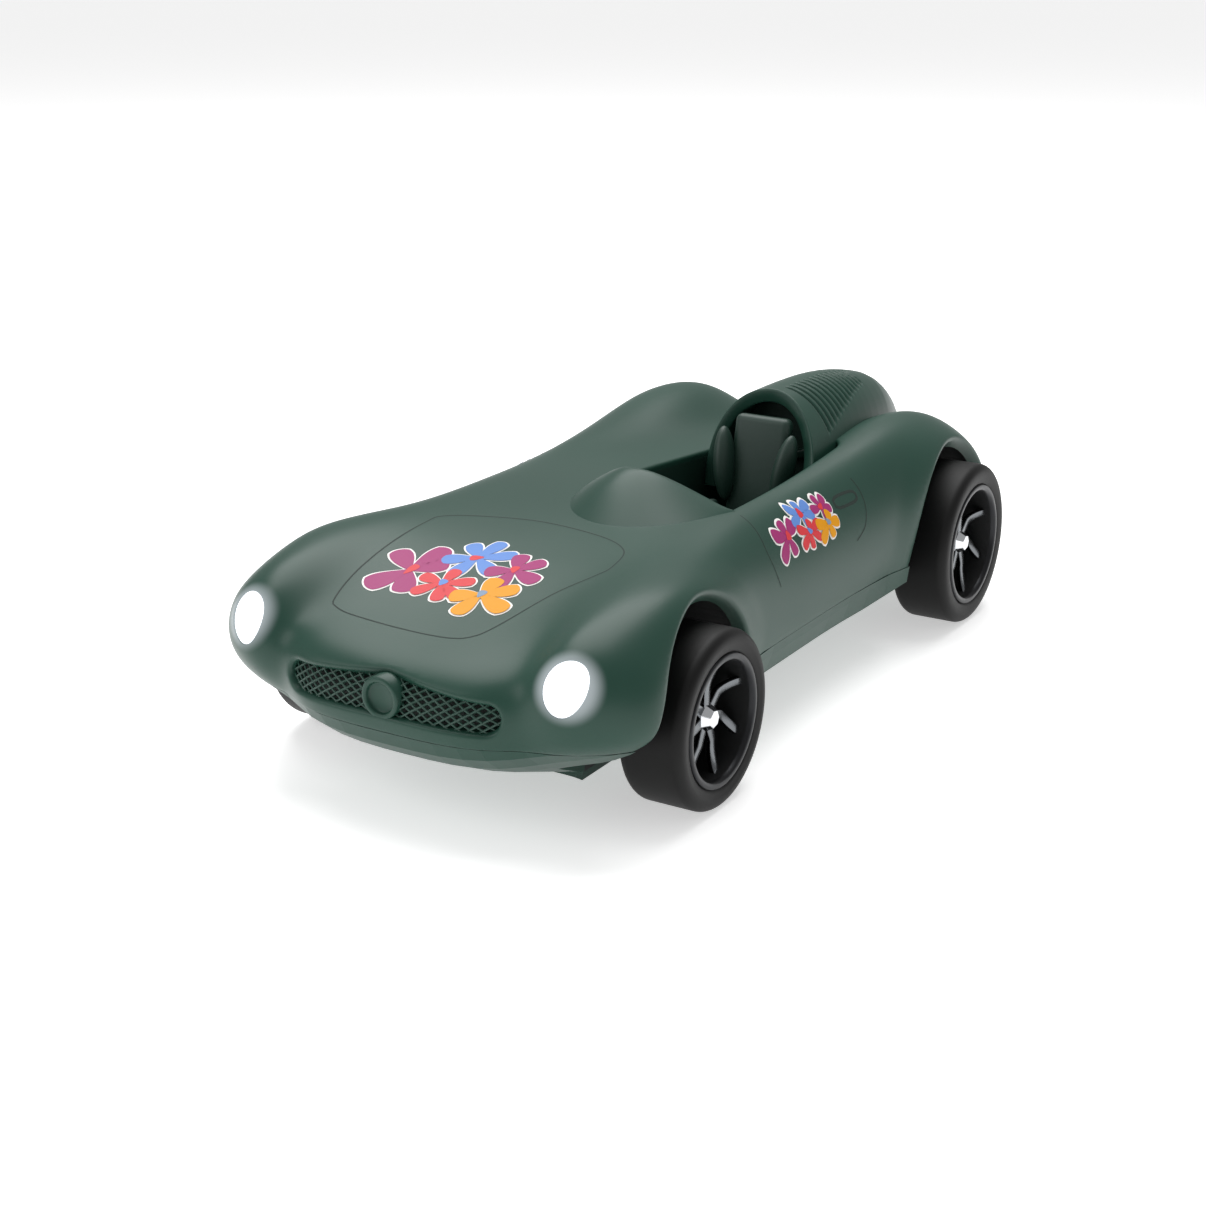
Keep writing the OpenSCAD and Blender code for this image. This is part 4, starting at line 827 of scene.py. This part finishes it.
spoke_root, spoke_end_gap, bend_from, bend_over = 2, 3.9, 0.45, 0.55
tyre_shoulder = 2.8


def turned(profile):
    """A shape of revolution about X. Each point is a depth behind the outer face, and a radius."""
    bm = bmesh.new()
    chain = [bm.verts.new((-depth, 0, radius)) for depth, radius in profile]
    edges = [bm.edges.new(pair) for pair in zip(chain, chain[1:])]
    bmesh.ops.spin(bm, geom=chain + edges, axis=(1, 0, 0), cent=(0, 0, 0), steps=128, angle=math.tau,
                   use_merge=True)
    bmesh.ops.remove_doubles(bm, verts=bm.verts, dist=0.001)
    return bm


for corner, body, nut_body, centre in (
        ("front_left", "front_wheel_left", "steering_knuckle_left", front_axle),
        ("front_right", "front_wheel_right", "steering_knuckle_right", front_axle),
        ("rear_left", "rear_axle", "rear_axle", rear_axle),
        ("rear_right", "rear_axle", "rear_axle", rear_axle)):
    low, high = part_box("tyre_" + corner)
    rim_low, rim_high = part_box("rim_" + corner)
    tyre_r = (high[2] - low[2]) * 500
    rim_r = (rim_high[2] - rim_low[2]) * 500
    width = (high[0] - low[0]) * 1000
    hand = 1 if corner.endswith("left") else -1

    def stand(bm, name, material, node, body=body, centre=centre, hand=hand):
        """Turns a shape built with its outer face at x 0, facing +X, into a piece of this wheel."""
        bmesh.ops.scale(bm, vec=(hand, 1, 1), verts=bm.verts)
        bmesh.ops.translate(bm, vec=(hand * tyre_face, centre[1], centre[2]), verts=bm.verts)
        piece = settle(bm, name, material)
        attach(piece, body)
        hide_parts(node)
        return piece

    # The tyre's wall swells from the rim to a round shoulder, and the tread is flat across
    wall = [(1.0, rim_r), (0.5, rim_r + 0.5), (0.25, rim_r + 1.2), (0.05, rim_r + 2.4),
            (0, tyre_r - tyre_shoulder - 0.6)]
    arc = [(tyre_shoulder - tyre_shoulder * math.cos(a),
            tyre_r - tyre_shoulder + tyre_shoulder * math.sin(a)) for a in np.linspace(0, math.pi / 2, 9)]
    half = wall + arc + [(width * 0.3, tyre_r)]
    bm = turned(half + [(width - depth, radius) for depth, radius in reversed(half)])
    stand(bm, "tyre_" + corner, tyre_rubber, "tyre_" + corner)
    # The rim: a rounded lip, the barrel behind it, and a disc that closes the back
    bm = turned([(1.2, rim_r + 0.1), (0.35, rim_r), (0.2, rim_r - 0.25), (0.2, rim_r - 1.3),
                 (0.5, rim_r - 1.7), (1.6, rim_r - 2.0)])
    stand(bm, "rim_lip_" + corner, lip_metal, "rim_" + corner)
    bm = turned([(1.6, rim_r - 2.0), (9, rim_r - 2.4), (width - 1.4, rim_r - 1.9),
                 (width - 0.8, rim_r - 0.2)])
    stand(bm, "rim_barrel_" + corner, barrel_black, "rim_" + corner)
    bm = turned([(12.6, rim_r - 2.3), (13, rim_r - 4), (13, 4.2)])
    stand(bm, "rim_back_" + corner, barrel_black, "rim_" + corner)
    # A spoke runs straight out of the hub, then bends sideways and rises towards the rim
    bm = bmesh.new()
    for k in range(spoke_count):
        made = bmesh.ops.create_grid(bm, x_segments=2, y_segments=12, size=1)["verts"]
        for vert in made:
            t = (vert.co.y + 1) / 2
            radius = spoke_root + t * (rim_r - spoke_end_gap)
            bend = max(0, radius - rim_r * bend_from) / (rim_r * bend_over)
            sideways = spoke_turn * rim_r * bend * 2.0 + vert.co.x * (1.5 - 0.35 * t)
            angle = math.tau * k / spoke_count + sideways / radius
            vert.co = (-spoke_sink + spoke_rise * bend ** 2, radius * math.sin(angle),
                       radius * math.cos(angle))
    grown = bmesh.ops.extrude_face_region(bm, geom=list(bm.faces))["geom"]
    bmesh.ops.translate(bm, vec=(-spoke_thick, 0, 0),
                        verts=[g for g in grown if isinstance(g, bmesh.types.BMVert)])
    bmesh.ops.recalc_face_normals(bm, faces=bm.faces)
    sharp = [ed for ed in bm.edges if len(ed.link_faces) == 2 and ed.calc_face_angle(0) > 1]
    bmesh.ops.bevel(bm, geom=sharp, offset=0.25, segments=2, profile=0.5, affect="EDGES", material=-1)
    stand(bm, "spokes_" + corner, spoke_metal, "rim_" + corner)
    bm = bmesh.new()
    bmesh.ops.create_cone(bm, cap_ends=True, segments=spoke_count, radius1=3.7, radius2=2.3, depth=2.4,
                          matrix=Matrix.Translation((-4.2, 0, 0)) @ Matrix.Rotation(math.pi / 2, 4, "Y"))
    bmesh.ops.bevel(bm, geom=bm.edges[:], offset=0.2, segments=2, profile=0.5, affect="EDGES", material=-1)
    nut = stand(bm, "hub_nut_" + corner, nut_metal, "wheel_nut_" + corner, body=nut_body)
    for face in nut.data.polygons:
        face.use_smooth = False

# ---- Underside, cockpit tub and running gear ----
# The parts inside keep their CAD shapes. Each gets the finish of the real thing: satin black
# mouldings, bright turned steel, white acetal gears, bronze bushes and printed battery sleeves.
finishes = {
    "body_green": body_abs,
    "black_plastic": moulded("inner_satin_black", "#141516", 0.55),
    "board": moulded("green_solder_mask", "#1f5c33", 0.35),
    "bush": moulded("sintered_bronze", "#b08d57", 0.45, Metallic=1.0),
    "cell": moulded("printed_cell_sleeve", "#3a6ea5", 0.3),
    "contact": moulded("nickel_spring_steel", "#c3c6ca", 0.25, Metallic=1.0),
    "film": films["magenta"],
    "gear": moulded("natural_acetal", "#e8e4da", 0.4),
    "horn": moulded("white_nylon", "#f0efe9", 0.45),
    "lamp_lens": glow,
    "led": moulded("clear_epoxy", "#f7f8ff", 0.1),
    "nut": nut_metal,
    "reflector": moulded("metallised_reflector", "#d8dade", 0.08, Metallic=1.0),
    "rim": spoke_metal,
    "servo": moulded("servo_case_black", "#202020", 0.5),
    "steel": moulded("turned_steel", "#b9bcc0", 0.3, Metallic=1.0),
    "tyre": tyre_rubber}
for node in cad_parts.values():
    for slot in node.material_slots:
        key = slot.material.name.split(".")[0] if slot.material else ""
        slot.material = finishes.get(key, finishes["black_plastic"])
        if node.name.startswith("cockpit_tub"):
            slot.material = seat_green
